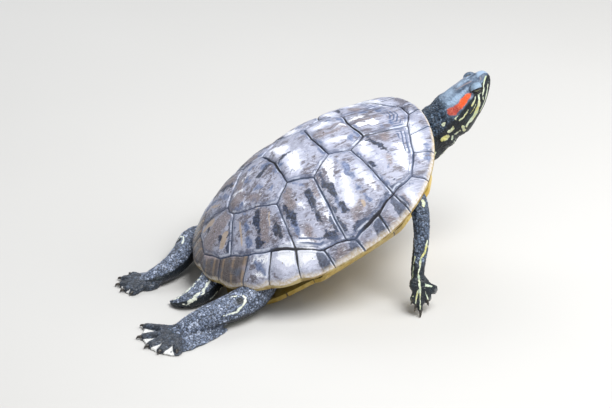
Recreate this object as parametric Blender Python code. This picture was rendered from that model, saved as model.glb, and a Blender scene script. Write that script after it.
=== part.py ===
"""A red-eared slider turtle at life size: shell tilted nose up, neck stretched, hind feet and tail on the floor.

Metres, +Z up, heading +X. The origin is the middle of the small flat on which the rear of the
belly rests. The shell is laid out in shares of its own length in a frame of its own, which is
pitched nose up; the flesh is laid out in model space. Almost every solid is a UV sphere whose
rings and segments are moved onto formulas: a plate for a scute, a tube for a limb.
"""
import math

import bmesh
import bpy
from mathutils import Matrix, Vector

MM = 0.001
GAP = 0.3 * MM                 # clearance between neighbouring solids
SHELL_LENGTH = 0.200           # straight length of the carapace
SHELL_PITCH = math.radians(22.3)
BELLY_SINK = 1.2 * MM          # how much of the belly's curve its floor flat takes off

# The carapace, in shares of its length: x from -0.5 at the tail to +0.5 at the neck.
HALF_LENGTH = 0.5
HALF_WIDTH = 0.38
WIDEST_X = 0.044
FRONT_POWER = 2.82             # squareness of the outline before and behind the widest place
REAR_POWER = 2.68
DOME_HEIGHT = 0.26
DOME_POWER = 2.14
DOME_ROOT = 1.18
FRONT_RIM_RISE = 0.146
REAR_RIM_RISE = 0.032
RIM_THICKNESS = 0.020
CROWN_THICKNESS = 0.025
CAVITY_REACH = 0.93            # the hollow ends at this share of the way to the rim
SCUTE_SWELL = 0.004            # each scute stands this much higher in its middle
REAR_NOTCH = 0.982             # the rear rim draws in to this share at its seams

# The plastron, in the same shares.
BELLY_DEPTH = 0.145
BELLY_THICKNESS = 0.020
BELLY_EDGE = 0.008
BRIDGE_HALF_WIDTH = 0.330
BRIDGE_POWER = 6
REAR_CURVE_START = -0.30
REAR_CURVE = 2.56              # upward curve of the rear lobe
FRONT_CURVE_START = 0.22
FRONT_CURVE = 0.70
REST_X = -0.38                 # where the rear lobe is level with the floor

# Seams of the left half, as (x, y) junctions. The midline scutes mirror them.
NUCHAL_IN = (0.448, 0.033)
V1_FRONT = (0.410, 0.095)
V12 = (0.245, 0.090)
V2_SIDE = (0.172, 0.135)
V23 = (0.095, 0.106)
V3_SIDE = (0.000, 0.157)
V34 = (-0.088, 0.111)
V4_SIDE = (-0.162, 0.148)
V45 = (-0.300, 0.028)
V5_REAR = (-0.390, 0.131)
P23_LOW = (-0.030, 0.350)
KEEL_SEAMS = (0.233, 0.085, -0.075, -0.306)
MARGINAL_IN = (NUCHAL_IN, (0.391, 0.146), (0.358, 0.223), (0.300, 0.295), (0.203, 0.320), (0.120, 0.341),
               (0.000, 0.355), (-0.116, 0.337), (-0.196, 0.293), (-0.270, 0.244), (-0.342, 0.191),
               (-0.423, 0.093), (-0.456, 0.0))
MARGINAL_OUT_X = (0.4994, 0.480, 0.425, 0.343, 0.225, 0.123, 0.012, -0.110, -0.237, -0.343, -0.420,
                  -0.478, -0.500)
INNER_CORNERS = {1: V1_FRONT, 7: P23_LOW, 11: V5_REAR}     # where a seam meets a marginal's inner edge
NOTCHED_FROM = 8               # marginal seams from this one on are notched
SEAM_STEP = 0.062
SEAM_SHARE = 0.007             # half a seam's gap as a share of a marginal's length

# The plastron's left outline, from the throat round the bridge to the notch under the tail.
BELLY_OUTLINE = ((0.440, 0.0), (0.432, 0.072), (0.378, 0.136), (0.285, 0.172), (0.222, 0.220),
                 (0.180, 0.262), (0.138, 0.316), (0.080, 0.330), (-0.060, 0.327), (-0.140, 0.303), (-0.168, 0.228),
                 (-0.270, 0.205), (-0.380, 0.180), (-0.462, 0.110), (-0.435, 0.0))

# The head: stations back from the snout along its axis, in millimetres:
# (back, rise of the centre, half height above, half height below, half width).
SNOUT = Vector((194.2, -11.0, 136.8)) * MM
HEAD_PITCH = math.radians(41)
HEAD_YAW = math.radians(-15)
HEAD_STATIONS = ((0.0, 0.3, 2.6, 3.2, 2.6), (1.2, 0.2, 4.4, 5.2, 4.2), (4.0, -0.3, 6.1, 7.6, 6.0),
                 (8.0, -0.9, 7.3, 10.2, 8.2), (12.0, -1.4, 8.9, 12.3, 10.6), (17.0, -2.6, 11.2, 13.9, 12.8),
                 (23.0, -4.0, 12.8, 14.9, 14.0), (29.0, -5.2, 14.8, 16.1, 14.8), (36.0, -6.1, 16.2, 17.2, 15.6))
HEAD_SEGMENTS = 20
EYE_BACK, EYE_RISE, EYE_OUT, EYE_RADIUS = 12.8 * MM, 2.0 * MM, 7.8 * MM, 4.2 * MM
MOUTH_FRONT = (0.0, -3.2)      # back and rise of the mouth line at the beak's tip, then at its corner
MOUTH_CORNER = (16.0, -7.0)

# Flesh tubes: centre, then half width across and half height, all in millimetres of model space.
NECK_STATIONS = (((118, 1, 64), 9.0, 9.0), ((138, 1, 79), 16.0, 16.0), ((153.8, 0.0, 91.0), 17.4, 17.2),
                 ((162.6, -2.0, 99.3), 16.6, 16.8), ((171.55, -4.95, 108.35), 15.7, 16.9))
TAIL_STATIONS = (((2, 3, 20), 5.0, 5.0), ((-19, -1.5, 15.0), 9.4, 9.0), ((-30, -9, 10.4), 9.0, 8.6),
                 ((-40, -14.5, 7.6), 8.4, 7.6), ((-49, -16, 5.7), 7.0, 6.2), ((-56, -13, 3.6), 4.4, 4.0),
                 ((-59.5, -8, 1.8), 1.9, 1.9))
FORELEG_STATIONS = (((111, -38, 74), 6.0, 6.0), ((113.5, -57, 72), 7.8, 7.0), ((112.3, -67.5, 60), 6.4, 6.2),
                    ((108.6, -75, 46), 5.7, 5.6), ((104.4, -80, 33), 5.3, 5.0), ((101.8, -84.5, 23), 5.8, 4.4))
FAR_FORELEG_SHIFT = Vector((7.0, 0.0, 0.0)) * MM
HINDLEG_STATIONS = (((14, -28, 24), 7.0, 7.0), ((-6, -41, 16.5), 12.4, 10.5), ((-18, -47, 13.5), 11.6, 10.6),
                    ((-34, -50, 11.5), 10.6, 9.6), ((-50, -51.5, 9.5), 9.6, 8.4), ((-64, -52, 6.6), 9.0, 5.8))
FAR_HINDLEG_STATIONS = (((10, 34, 24), 6.6, 6.6), ((-9, 48, 16.5), 11.0, 9.0), ((-20, 48, 15), 10.4, 9.2),
                        ((-33, 36, 12), 9.2, 8.4), ((-48, 26, 9), 8.4, 7.4), ((-60, 25, 6), 8.0, 5.4))

# Feet: palm centre and half width, height of the palm, then each toe as (heading in degrees,
# reach to its tip). Webs reach a share of the toes' length, and a fold of skin, given as headings
# and reaches, joins the outer toe of a hind foot to its shin. A forefoot hangs: it is lifted and
# leaned over towards a heading until the tip of its longest claw meets the floor.
FORE_FOOT = {"palm": (101.5, -86.2, 18.8), "palm_radius": 7.2, "height": 8.0, "web": 0.62, "claw": 5.0,
             "toes": ((-27, 9.0), (-81, 13.0), (-105, 20.0), (-117, 16.0), (-130, 12.0)), "lean": (-96, 55), "fold": ()}
FAR_FORE_FOOT = {"palm": (108.5, 86.2, 18.8), "palm_radius": 7.2, "height": 8.0, "web": 0.62, "claw": 5.0,
                 "toes": ((27, 9.0), (81, 13.0), (105, 20.0), (117, 16.0), (130, 12.0)), "lean": (96, 55), "fold": ()}
HIND_FOOT = {"palm": (-69.0, -52.0, 0.0), "palm_radius": 11.5, "height": 9.5, "web": 0.92, "claw": 3.6,
             "toes": ((134, 30.0), (164, 29.5), (191, 28.5), (215, 27.5), (241, 24.0)), "lean": (0, 0),
             "fold": ((241, 23.0), (288, 20.0), (312, 22.0), (335, 26.0))}
FAR_HIND_FOOT = {"palm": (-65.0, 26.0, 0.0), "palm_radius": 10.5, "height": 8.5, "web": 0.92, "claw": 3.4,
                 "toes": ((212, 18.5), (188, 20.5), (164, 21.5), (139, 21.0), (112, 18.0)), "lean": (0, 0),
                 "fold": ((112, 17.0), (66, 15.0), (25, 11.0))}
TOE_SPREAD = 9.5               # half breadth of a toe, in degrees of the foot's fan
FOOT_SEGMENTS = 36
FOOT_RINGS = (0.45, 0.80, 1.0)
TOE_RADIUS = 2.5 * MM


def clear_scene():
    for item in list(bpy.data.objects):
        bpy.data.objects.remove(item, do_unlink=True)


clear_scene()
parts = bpy.data.collections.new("red_eared_slider")
cutters = bpy.data.collections.new("cutters")
bpy.context.scene.collection.children.link(parts)
bpy.context.scene.collection.children.link(cutters)


def material(name, colour, roughness):
    made = bpy.data.materials.new(name)
    made.use_nodes = True
    shader = made.node_tree.nodes["Principled BSDF"]
    shader.inputs["Base Color"].default_value = (*colour, 1.0)
    shader.inputs["Roughness"].default_value = roughness
    shader.inputs["Metallic"].default_value = 0.0
    return made


DRY_SHELL = material("dry_shell", (0.42, 0.40, 0.43), 0.62)
WET_SHELL = material("wet_shell", (0.09, 0.07, 0.06), 0.30)
BELLY_SHELL = material("belly_shell", (0.55, 0.38, 0.08), 0.45)
BLUE_SKIN = material("blue_skin", (0.16, 0.20, 0.25), 0.45)
DARK_SKIN = material("dark_skin", (0.04, 0.05, 0.06), 0.50)
EYE_BALL = material("eye_ball", (0.05, 0.07, 0.03), 0.08)


def reshaped_sphere(name, segments, rings, place, look, frame=None, cutter=False):
    """A UV sphere whose points move to place(segment, ring). Ring 0 and ring rings + 1 are its poles."""
    shape = bmesh.new()
    bmesh.ops.create_uvsphere(shape, u_segments=segments, v_segments=rings + 1, radius=1.0)
    for point in shape.verts:
        ring = round(math.acos(max(-1.0, min(1.0, point.co.z))) / math.pi * (rings + 1))
        segment = round(math.atan2(point.co.y, point.co.x) / (2 * math.pi) * segments) % segments
        point.co = place(segment, ring)
    shape.normal_update()
    bmesh.ops.recalc_face_normals(shape, faces=shape.faces)
    bmesh.ops.triangulate(shape, faces=shape.faces)
    return finished(name, shape, look, frame, cutter)


def finished(name, shape, look, frame=None, cutter=False):
    mesh = bpy.data.meshes.new(name)
    shape.to_mesh(mesh)
    shape.free()
    mesh.materials.append(look)
    mesh.shade_smooth()
    item = bpy.data.objects.new(name, mesh)
    (cutters if cutter else parts).objects.link(item)
    item.parent = frame
    item.hide_render = cutter
    item.display_type = "WIRE" if cutter else "TEXTURED"
    return item


def boolean(item, other, operation="DIFFERENCE"):
    cut = item.modifiers.new(other.name, "BOOLEAN")
    cut.operation = operation
    cut.solver = "EXACT"
    cut.object = other


def grown(item, by):
    """A cutter: the same solid, pushed out along its normals."""
    copy = bpy.data.objects.new(item.name + "_grown", item.data.copy())
    cutters.objects.link(copy)
    copy.parent = item.parent
    copy.hide_render = True
    copy.display_type = "WIRE"
    swell = copy.modifiers.new("grow", "DISPLACE")
    swell.mid_level = 0.0
    swell.strength = by
    return copy


# ---- the shell's own frame

def belly_bottom(x, y):
    """Outer face of the plastron: flat, curved up at both ends, rising in the bridges to the rim."""
    rise = REAR_CURVE * max(0.0, REAR_CURVE_START - x) ** 2
    rise += FRONT_CURVE * max(0.0, x - FRONT_CURVE_START) ** 2
    keel = -BELLY_DEPTH + rise
    side = min(1.0, abs(y) / BRIDGE_HALF_WIDTH) ** BRIDGE_POWER
    edge = rim_height(x) - RIM_THICKNESS - GAP / SHELL_LENGTH - BELLY_EDGE
    return keel + (edge - keel) * side


def rim_height(x):
    rise = FRONT_RIM_RISE if x > 0 else REAR_RIM_RISE
    return rise * (x / HALF_LENGTH) ** 2


shell_frame = bpy.data.objects.new("shell_frame", None)
parts.objects.link(shell_frame)
shell_frame.rotation_euler = (0.0, -SHELL_PITCH, 0.0)
tilt = Matrix.Rotation(-SHELL_PITCH, 3, "Y")
rest_point = tilt @ Vector((REST_X, 0.0, belly_bottom(REST_X, 0.0))) * SHELL_LENGTH
shell_frame.location = -rest_point - Vector((0.0, 0.0, BELLY_SINK))


# ---- carapace

def rim_half_width(x):
    ahead = x > WIDEST_X
    along = abs(x - WIDEST_X) / (HALF_LENGTH - WIDEST_X if ahead else HALF_LENGTH + WIDEST_X)
    return HALF_WIDTH * math.sqrt(max(0.0, 1.0 - along ** (FRONT_POWER if ahead else REAR_POWER)))


def reach(x, y):
    """0 at the middle of the shell, 1 at its rim, measured along the ray from the widest place."""
    ahead = x > WIDEST_X
    along = abs(x - WIDEST_X) / (HALF_LENGTH - WIDEST_X if ahead else HALF_LENGTH + WIDEST_X)
    across = abs(y) / HALF_WIDTH
    power = FRONT_POWER if ahead else REAR_POWER
    low, high = 1e-6, 4.0
    for _ in range(40):
        middle = (low + high) / 2
        outside = (across / middle) ** 2 + (along / middle) ** power > 1.0
        low, high = (middle, high) if outside else (low, middle)
    return high


def dome(share):
    return max(0.0, 1.0 - min(1.0, share) ** DOME_POWER) ** (1.0 / DOME_ROOT)


def carapace_top(x, y):
    rim = rim_height(x)
    return rim + (DOME_HEIGHT - rim) * dome(reach(x, y))


def carapace_under(x, y):
    lip = rim_height(x) - RIM_THICKNESS
    return lip + (DOME_HEIGHT - CROWN_THICKNESS - lip) * dome(reach(x, y) / CAVITY_REACH)


def seam(start, end):
    """Points from start up to but not including end, the same ones from either side."""
    steps = max(1, round(math.dist(start, end) / SEAM_STEP))
    return [(start[0] + (end[0] - start[0]) * i / steps, start[1] + (end[1] - start[1]) * i / steps)
            for i in range(steps)]


def rim_point(index):
    x = MARGINAL_OUT_X[index]
    y = rim_half_width(x)
    if index < NOTCHED_FROM:
        return x, y
    return WIDEST_X + (x - WIDEST_X) * REAR_NOTCH, y * REAR_NOTCH


def rim_between(start, end, share):
    """A point on the rim, `share` of the way from one rim point to another."""
    x = start[0] + (end[0] - start[0]) * share
    y = start[1] + (end[1] - start[1]) * share
    ends = reach(*start) + (reach(*end) - reach(*start)) * share
    scale = ends / reach(x, y)
    return WIDEST_X + (x - WIDEST_X) * scale, y * scale


def outline_of(corners):
    loop = []
    for start, end in zip(corners, corners[1:] + corners[:1]):
        loop += seam(start, end)
    return loop


def mirrored(points):
    return [(x, -y) for x, y in reversed(points)]


def counter_clockwise(loop):
    area = sum(a[0] * b[1] - b[0] * a[1] for a, b in zip(loop, loop[1:] + loop[:1]))
    return loop if area > 0 else loop[::-1]


def inset(loop, by):
    """The same outline drawn in by a distance, each corner on the bisector of its edges."""
    moved = []
    for before, here, after in zip(loop[-1:] + loop[:-1], loop, loop[1:] + loop[:1]):
        first = (Vector(here) - Vector(before)).normalized()
        second = (Vector(after) - Vector(here)).normalized()
        inward = Vector((-first.y - second.y, first.x + second.x)).normalized()
        cosine = max(0.4, inward.dot(Vector((-first.y, first.x))))
        moved.append(tuple(Vector(here) + inward * by / cosine))
    return moved


def plate(name, loop, rings, top, under, look, cutter=False, swell=0.0):
    """A closed plate over an outline in the shell's frame, between two height functions."""
    middle = (sum(x for x, _ in loop) / len(loop), sum(y for _, y in loop) / len(loop))
    count = len(rings)

    def place(segment, ring):
        upper = ring <= count
        share = 0.0 if ring in (0, 2 * count + 1) else rings[ring - 1] if upper else rings[2 * count - ring]
        x = middle[0] + (loop[segment][0] - middle[0]) * share
        y = middle[1] + (loop[segment][1] - middle[1]) * share
        height = top(x, y) + swell * (1.0 - share ** 2) if upper else under(x, y)
        return Vector((x, y, height)) * SHELL_LENGTH

    return reshaped_sphere(name, len(loop), 2 * count, place, look, shell_frame, cutter)


def scute(name, loop, look=DRY_SHELL, rings=(0.5, 1.0)):
    loop = inset(counter_clockwise(loop), GAP / 2 / SHELL_LENGTH)
    return plate(name, loop, rings, carapace_top, carapace_under, look, swell=SCUTE_SWELL)


def both_sides(name, loop, look=DRY_SHELL):
    scute(name + "_left", loop, look)
    scute(name + "_right", mirrored(loop), look)


def block(name, steps, place, look, frame):
    """A cube cut into steps[0] by steps[1] cells across, its corners moved to place(u, v, w), each 0 to 1."""
    shape = bmesh.new()
    bmesh.ops.create_cube(shape, size=1.0)
    for axis, count in enumerate(steps):
        along = [edge for edge in shape.edges
                 if abs(edge.verts[0].co[axis] - edge.verts[1].co[axis]) > 1e-4]
        bmesh.ops.subdivide_edges(shape, edges=along, cuts=count - 1, use_grid_fill=True)
    for point in shape.verts:
        point.co = place(*(value + 0.5 for value in point.co))
    shape.normal_update()
    bmesh.ops.recalc_face_normals(shape, faces=shape.faces)
    bmesh.ops.triangulate(shape, faces=shape.faces)
    return finished(name, shape, look, frame)


def marginal(name, index, side, look):
    """A rim scute: u runs along the rim, v from its inner seam to the rim, w from underside to top."""
    front, rear = MARGINAL_IN[index - 1], MARGINAL_IN[index]
    middle = INNER_CORNERS.get(index, ((front[0] + rear[0]) / 2, (front[1] + rear[1]) / 2))
    ends = rim_point(index - 1), rim_point(index)

    def place(u, v, w):
        u = SEAM_SHARE + (1.0 - 2 * SEAM_SHARE) * u
        v = 3 * SEAM_SHARE + (1.0 - 3 * SEAM_SHARE) * v ** 0.8
        first, second = (front, middle) if u < 0.5 else (middle, rear)
        share = 2 * u - (u >= 0.5)
        inner = [first[k] + (second[k] - first[k]) * share for k in (0, 1)]
        outer = rim_between(*ends, u)
        x, y = (inner[k] + (outer[k] - inner[k]) * v for k in (0, 1))
        height = carapace_under(x, y) + (carapace_top(x, y) - carapace_under(x, y)) * w
        return Vector((x, side * y, height)) * SHELL_LENGTH

    block(name, (4, 2), place, look, shell_frame)


def add_midline_scutes():
    """The nuchal and the five vertebrals, each one symmetric about the keel."""
    sides = (
        ("vertebral_1", (NUCHAL_IN, V1_FRONT, V12), None, KEEL_SEAMS[0]),
        ("vertebral_2", (V12, V2_SIDE, V23), KEEL_SEAMS[0], KEEL_SEAMS[1]),
        ("vertebral_3", (V23, V3_SIDE, V34), KEEL_SEAMS[1], KEEL_SEAMS[2]),
        ("vertebral_4", (V34, V4_SIDE, V45), KEEL_SEAMS[2], KEEL_SEAMS[3]),
        ("vertebral_5", (V45, V5_REAR, MARGINAL_IN[11]), KEEL_SEAMS[3], MARGINAL_IN[12][0]),
    )
    for name, side, front, rear in sides:
        right = [(x, -y) for x, y in side]
        corners = list(side) + [(rear, 0.0)] + right[::-1]
        if front is not None:
            corners.append((front, 0.0))
        scute(name, outline_of(corners))
    outer = rim_point(0)
    nuchal = [(outer[0], -outer[1]), outer, NUCHAL_IN, (NUCHAL_IN[0], -NUCHAL_IN[1])]
    scute("nuchal", outline_of(nuchal))


def add_pleurals():
    inner = MARGINAL_IN
    corners = (
        (inner[4], V2_SIDE, V12, V1_FRONT, inner[1], inner[2], inner[3]),
        (inner[4], inner[5], inner[6], P23_LOW, V3_SIDE, V23, V2_SIDE),
        (P23_LOW, inner[7], inner[8], V4_SIDE, V34, V3_SIDE),
        (inner[8], inner[9], inner[10], V5_REAR, V45, V4_SIDE),
    )
    for number, ring in enumerate(corners, 1):
        both_sides(f"pleural_{number}", outline_of(list(ring)))


def add_marginals():
    for index in range(1, len(MARGINAL_IN)):
        look = WET_SHELL if index > 10 else DRY_SHELL
        marginal(f"marginal_{index}_left", index, 1, look)
        marginal(f"marginal_{index}_right", index, -1, look)


# ---- plastron and trunk

def smooth_loop(corners, steps):
    """A closed curve through the corners, with `steps` points for each."""
    points = []
    count = len(corners)
    for index in range(count):
        p0, p1, p2, p3 = (Vector(corners[(index + k) % count]) for k in (-1, 0, 1, 2))
        for step in range(steps):
            t = step / steps
            points.append(tuple(((2 * p1) + (p2 - p0) * t + (2 * p0 - 5 * p1 + 4 * p2 - p3) * t ** 2
                                 + (3 * p1 - p0 - 3 * p2 + p3) * t ** 3) / 2))
    return points


def belly_inside(x, y):
    """Inner face of the plastron, never above the rim's underside."""
    return min(belly_bottom(x, y) + BELLY_THICKNESS, rim_height(x) - RIM_THICKNESS - GAP / SHELL_LENGTH)


def full_outline(half):
    left = list(half)
    return left + [(x, -y) for x, y in left[-2:0:-1]]


def add_plastron():
    loop = counter_clockwise(smooth_loop(full_outline(BELLY_OUTLINE), 2))
    rings = (0.5, 0.8, 1.0)
    return plate("plastron", loop, rings, belly_inside, belly_bottom, BELLY_SHELL)


TRUNK_REACH = 0.86             # the trunk's outline, as a share of the rim's
TRUNK_SEGMENTS = 30
TRUNK_ROUNDING = 7
TRUNK_CLEARANCE = 0.007
POCKET_DEPTH = 0.05            # how far the skin draws in over each limb
POCKET_SIZE = 0.12
POCKETS = ((0.36, 0.26), (-0.33, 0.24))


def trunk_surface(x, y, share, upper):
    ceiling = carapace_under(x, y) - TRUNK_CLEARANCE
    pocket = sum(math.exp(-((x - px) ** 2 + (abs(y) - py) ** 2) / POCKET_SIZE ** 2) for px, py in POCKETS)
    floor = belly_bottom(x, y) + BELLY_THICKNESS + TRUNK_CLEARANCE + POCKET_DEPTH * pocket
    middle = (ceiling + floor) / 2
    closing = (1.0 - share ** TRUNK_ROUNDING) ** 0.5 * 0.96 + 0.04
    return middle + ((ceiling if upper else floor) - middle) * closing


def add_trunk():
    rings = (0.35, 0.65, 0.85, 0.96, 1.0)
    count = len(rings)

    def place(segment, ring):
        upper = ring <= count
        share = 0.0 if ring in (0, 2 * count + 1) else rings[ring - 1] if upper else rings[2 * count - ring]
        angle = 2 * math.pi * segment / TRUNK_SEGMENTS
        ray = (math.cos(angle), math.sin(angle))
        edge = TRUNK_REACH / reach(WIDEST_X + ray[0], ray[1])
        x = WIDEST_X + ray[0] * edge * share
        y = ray[1] * edge * share
        return Vector((x, y, trunk_surface(x, y, share, upper))) * SHELL_LENGTH

    return reshaped_sphere("trunk", TRUNK_SEGMENTS, 2 * count, place, DARK_SKIN, shell_frame)


def add_shell_cutter():
    """The whole carapace as one solid, a little oversize, to keep the flesh clear of every scute."""
    segments, extra = 32, 0.007
    loop = []
    for segment in range(segments):
        angle = 2 * math.pi * segment / segments
        edge = 1.02 / reach(WIDEST_X + math.cos(angle), math.sin(angle))
        loop.append((WIDEST_X + math.cos(angle) * edge, math.sin(angle) * edge))
    return plate("carapace_cutter", loop, (0.5, 0.8, 0.92, 1.0),
                 lambda x, y: carapace_top(x, y) + extra, lambda x, y: carapace_under(x, y) - extra,
                 DRY_SHELL, cutter=True)


# ---- flesh tubes

def curve_through(stations, steps):
    """Stations spaced more finely along a smooth curve, as (centre, half width, half height)."""
    rows = [(*centre, wide, tall) for centre, wide, tall in stations]
    dense = []
    for index in range(len(rows) - 1):
        picks = (rows[max(0, index - 1)], rows[index], rows[index + 1], rows[min(len(rows) - 1, index + 2)])
        for step in range(steps):
            t = step / steps
            dense.append([((2 * b) + (c - a) * t + (2 * a - 5 * b + 4 * c - d) * t ** 2
                           + (3 * b - a - 3 * c + d) * t ** 3) / 2 for a, b, c, d in zip(*picks)])
    dense.append(rows[-1])
    return [(Vector(row[:3]) * MM, row[3] * MM, row[4] * MM) for row in dense]


def tube(name, stations, segments, steps, look, up=Vector((0, 0, 1)), end_tangent=None, round_end=True):
    """A closed tube through the stations, with a flat root and a flat or rounded end."""
    rows = curve_through(stations, steps)
    tangents = []
    for index in range(len(rows)):
        ahead = rows[min(len(rows) - 1, index + 1)][0] - rows[max(0, index - 1)][0]
        tangents.append(ahead.normalized())
    if end_tangent is not None:
        tangents[-1] = end_tangent

    def place(segment, ring):
        if ring == 0:
            return rows[0][0]
        centre, wide, tall = rows[min(ring, len(rows)) - 1]
        tangent = tangents[min(ring, len(rows)) - 1]
        if ring == len(rows) + 1:
            return centre + tangent * (0.4 * tall if round_end else 0.0)
        side = tangent.cross(up).normalized()
        rise = side.cross(tangent)
        angle = 2 * math.pi * segment / segments
        return centre + side * (wide * math.cos(angle)) + rise * (tall * math.sin(angle))

    return reshaped_sphere(name, segments, len(rows), place, look)


# ---- head

head_forward = Vector((math.cos(HEAD_YAW) * math.cos(HEAD_PITCH),
                       math.sin(HEAD_YAW) * math.cos(HEAD_PITCH), math.sin(HEAD_PITCH)))
head_left = Vector((-math.sin(HEAD_YAW), math.cos(HEAD_YAW), 0.0))
head_up = head_forward.cross(head_left)


def in_head(back, out, rise):
    return SNOUT - head_forward * back + head_left * out + head_up * rise


def add_head():
    """Snout to nape: a flat crown, brows over the eyes, a beak, and jaws that widen into the neck."""
    def place(segment, ring):
        if ring == 0:
            return in_head(-0.8 * MM, 0.0, 0.2 * MM)
        back, rise, above, below, wide = (value * MM for value in
                                          HEAD_STATIONS[min(ring, len(HEAD_STATIONS)) - 1])
        if ring == len(HEAD_STATIONS) + 1:
            return in_head(back, 0.0, rise)
        angle = 2 * math.pi * segment / HEAD_SEGMENTS
        cosine, sine = math.cos(angle), math.sin(angle)
        out = -wide * math.copysign(abs(cosine) ** 0.92, cosine)
        tall = (above if sine > 0 else below) * math.copysign(abs(sine) ** (0.92 if sine > 0 else 1.0), sine)
        return in_head(back, out, rise + tall)

    return reshaped_sphere("head", HEAD_SEGMENTS, len(HEAD_STATIONS), place, BLUE_SKIN)


def add_eye(name, side):
    shape = bmesh.new()
    bmesh.ops.create_uvsphere(shape, u_segments=12, v_segments=8, radius=EYE_RADIUS)
    bmesh.ops.triangulate(shape, faces=shape.faces)
    eye = finished(name, shape, EYE_BALL)
    eye.location = in_head(EYE_BACK, side * EYE_OUT, EYE_RISE)
    return eye


def add_brow(side):
    """The swelling of the lids round an eye, joined to the head."""
    shape = bmesh.new()
    bmesh.ops.create_uvsphere(shape, u_segments=12, v_segments=8, radius=1.0)
    bmesh.ops.triangulate(shape, faces=shape.faces)
    brow = finished(f"brow_{side:+d}", shape, BLUE_SKIN, cutter=True)
    turn = Matrix((head_forward, head_left, head_up)).transposed().to_4x4()
    place = Matrix.Translation(in_head(EYE_BACK + 0.6 * MM, side * (EYE_OUT - 0.4 * MM), EYE_RISE + 0.5 * MM))
    brow.matrix_world = place @ turn @ Matrix.Diagonal((5.6 * MM, 4.1 * MM, 4.9 * MM, 1.0))
    return brow


def add_jaw_cutter(name, shrink):
    """A wedge that holds all below the mouth line; shrink draws its faces in by half the mouth's gap."""
    front, corner = Vector(MOUTH_FRONT) * MM, Vector(MOUTH_CORNER) * MM
    slope = (corner - front).normalized()
    lead = front - slope * 8 * MM
    shape = bmesh.new()
    bmesh.ops.create_cube(shape, size=1.0)
    for point in shape.verts:
        out = math.copysign(30 * MM, point.co.y)
        at_corner, at_top = point.co.x < 0, point.co.z > 0
        edge = (corner - slope * shrink) if at_corner else lead
        if at_top:
            back, rise = edge.x, edge.y - shrink
        else:
            back, rise = (edge.x + 10 * MM if at_corner else edge.x), -40 * MM
        point.co = in_head(back, out, rise)
    shape.normal_update()
    bmesh.ops.recalc_face_normals(shape, faces=shape.faces)
    bmesh.ops.triangulate(shape, faces=shape.faces)
    return finished(name, shape, BLUE_SKIN, cutter=True)


def add_head_group():
    head = add_head()
    for side in (1, -1):
        boolean(head, add_brow(side), "UNION")
    jaw = bpy.data.objects.new("lower_jaw", head.data.copy())
    parts.objects.link(jaw)
    boolean(jaw, add_jaw_cutter("jaw_keep", GAP / 2), "INTERSECT")
    boolean(head, add_jaw_cutter("jaw_remove", -GAP / 2))
    for name, side in (("eye_left", 1), ("eye_right", -1)):
        eye = add_eye(name, side)
        socket = grown(eye, GAP * 1.3)
        socket.location = eye.location
        boolean(head, socket)


# ---- feet

def fan(heading, toes):
    """How much of a toe lies at this heading: 1 on its middle line, 0 between toes, and that toe's reach."""
    best, length = 0.0, 0.0
    for angle, reach_to in toes:
        away = abs((heading - angle + 180) % 360 - 180)
        weight = math.exp(-(away / TOE_SPREAD) ** 2)
        best, length = max(best, weight), length + weight * reach_to
    total = sum(math.exp(-(((heading - angle + 180) % 360 - 180) / TOE_SPREAD) ** 2) for angle, _ in toes)
    return best, length / total if total > 1e-6 else 0.0


def foot_reach(heading, foot):
    """Distance from the palm's centre to the edge of the foot, its toes joined by webs."""
    toes = foot["toes"]
    on_toe, length = fan(heading, toes)
    turns = [(heading - angle + 180) % 360 - 180 for angle, _ in toes]
    nearest = min(abs(turn) for turn in turns)
    outside = nearest > 40.0 or min(turns) > 0.0 or max(turns) < 0.0
    beyond = nearest if outside else max(0.0, nearest - 12.0)
    between = max(0.0, 1.0 - max(0.0, beyond - 3.0) / 20.0)
    web = foot["palm_radius"] + (foot["web"] * max(reach_to for _, reach_to in toes)
                                 - foot["palm_radius"]) * between
    web = max(web, foot["palm_radius"])
    for (start, near_reach), (end, far_reach) in zip(foot["fold"], foot["fold"][1:]):
        share = ((heading - start + 180) % 360 - 180) / (end - start)
        if 0.0 <= share <= 1.0:
            web = max(web, near_reach + (far_reach - near_reach) * share)
    return max(web, web + (length - web) * on_toe) * MM


def stance(foot):
    """Places a foot made flat round the origin: leaned over towards its heading, then moved to its palm."""
    towards, lean = (math.radians(angle) for angle in foot["lean"])
    hinge = Vector((-math.sin(towards), math.cos(towards), 0.0))
    return Matrix.Translation(Vector(foot["palm"]) * MM) @ Matrix.Rotation(lean, 4, hinge)


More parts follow.
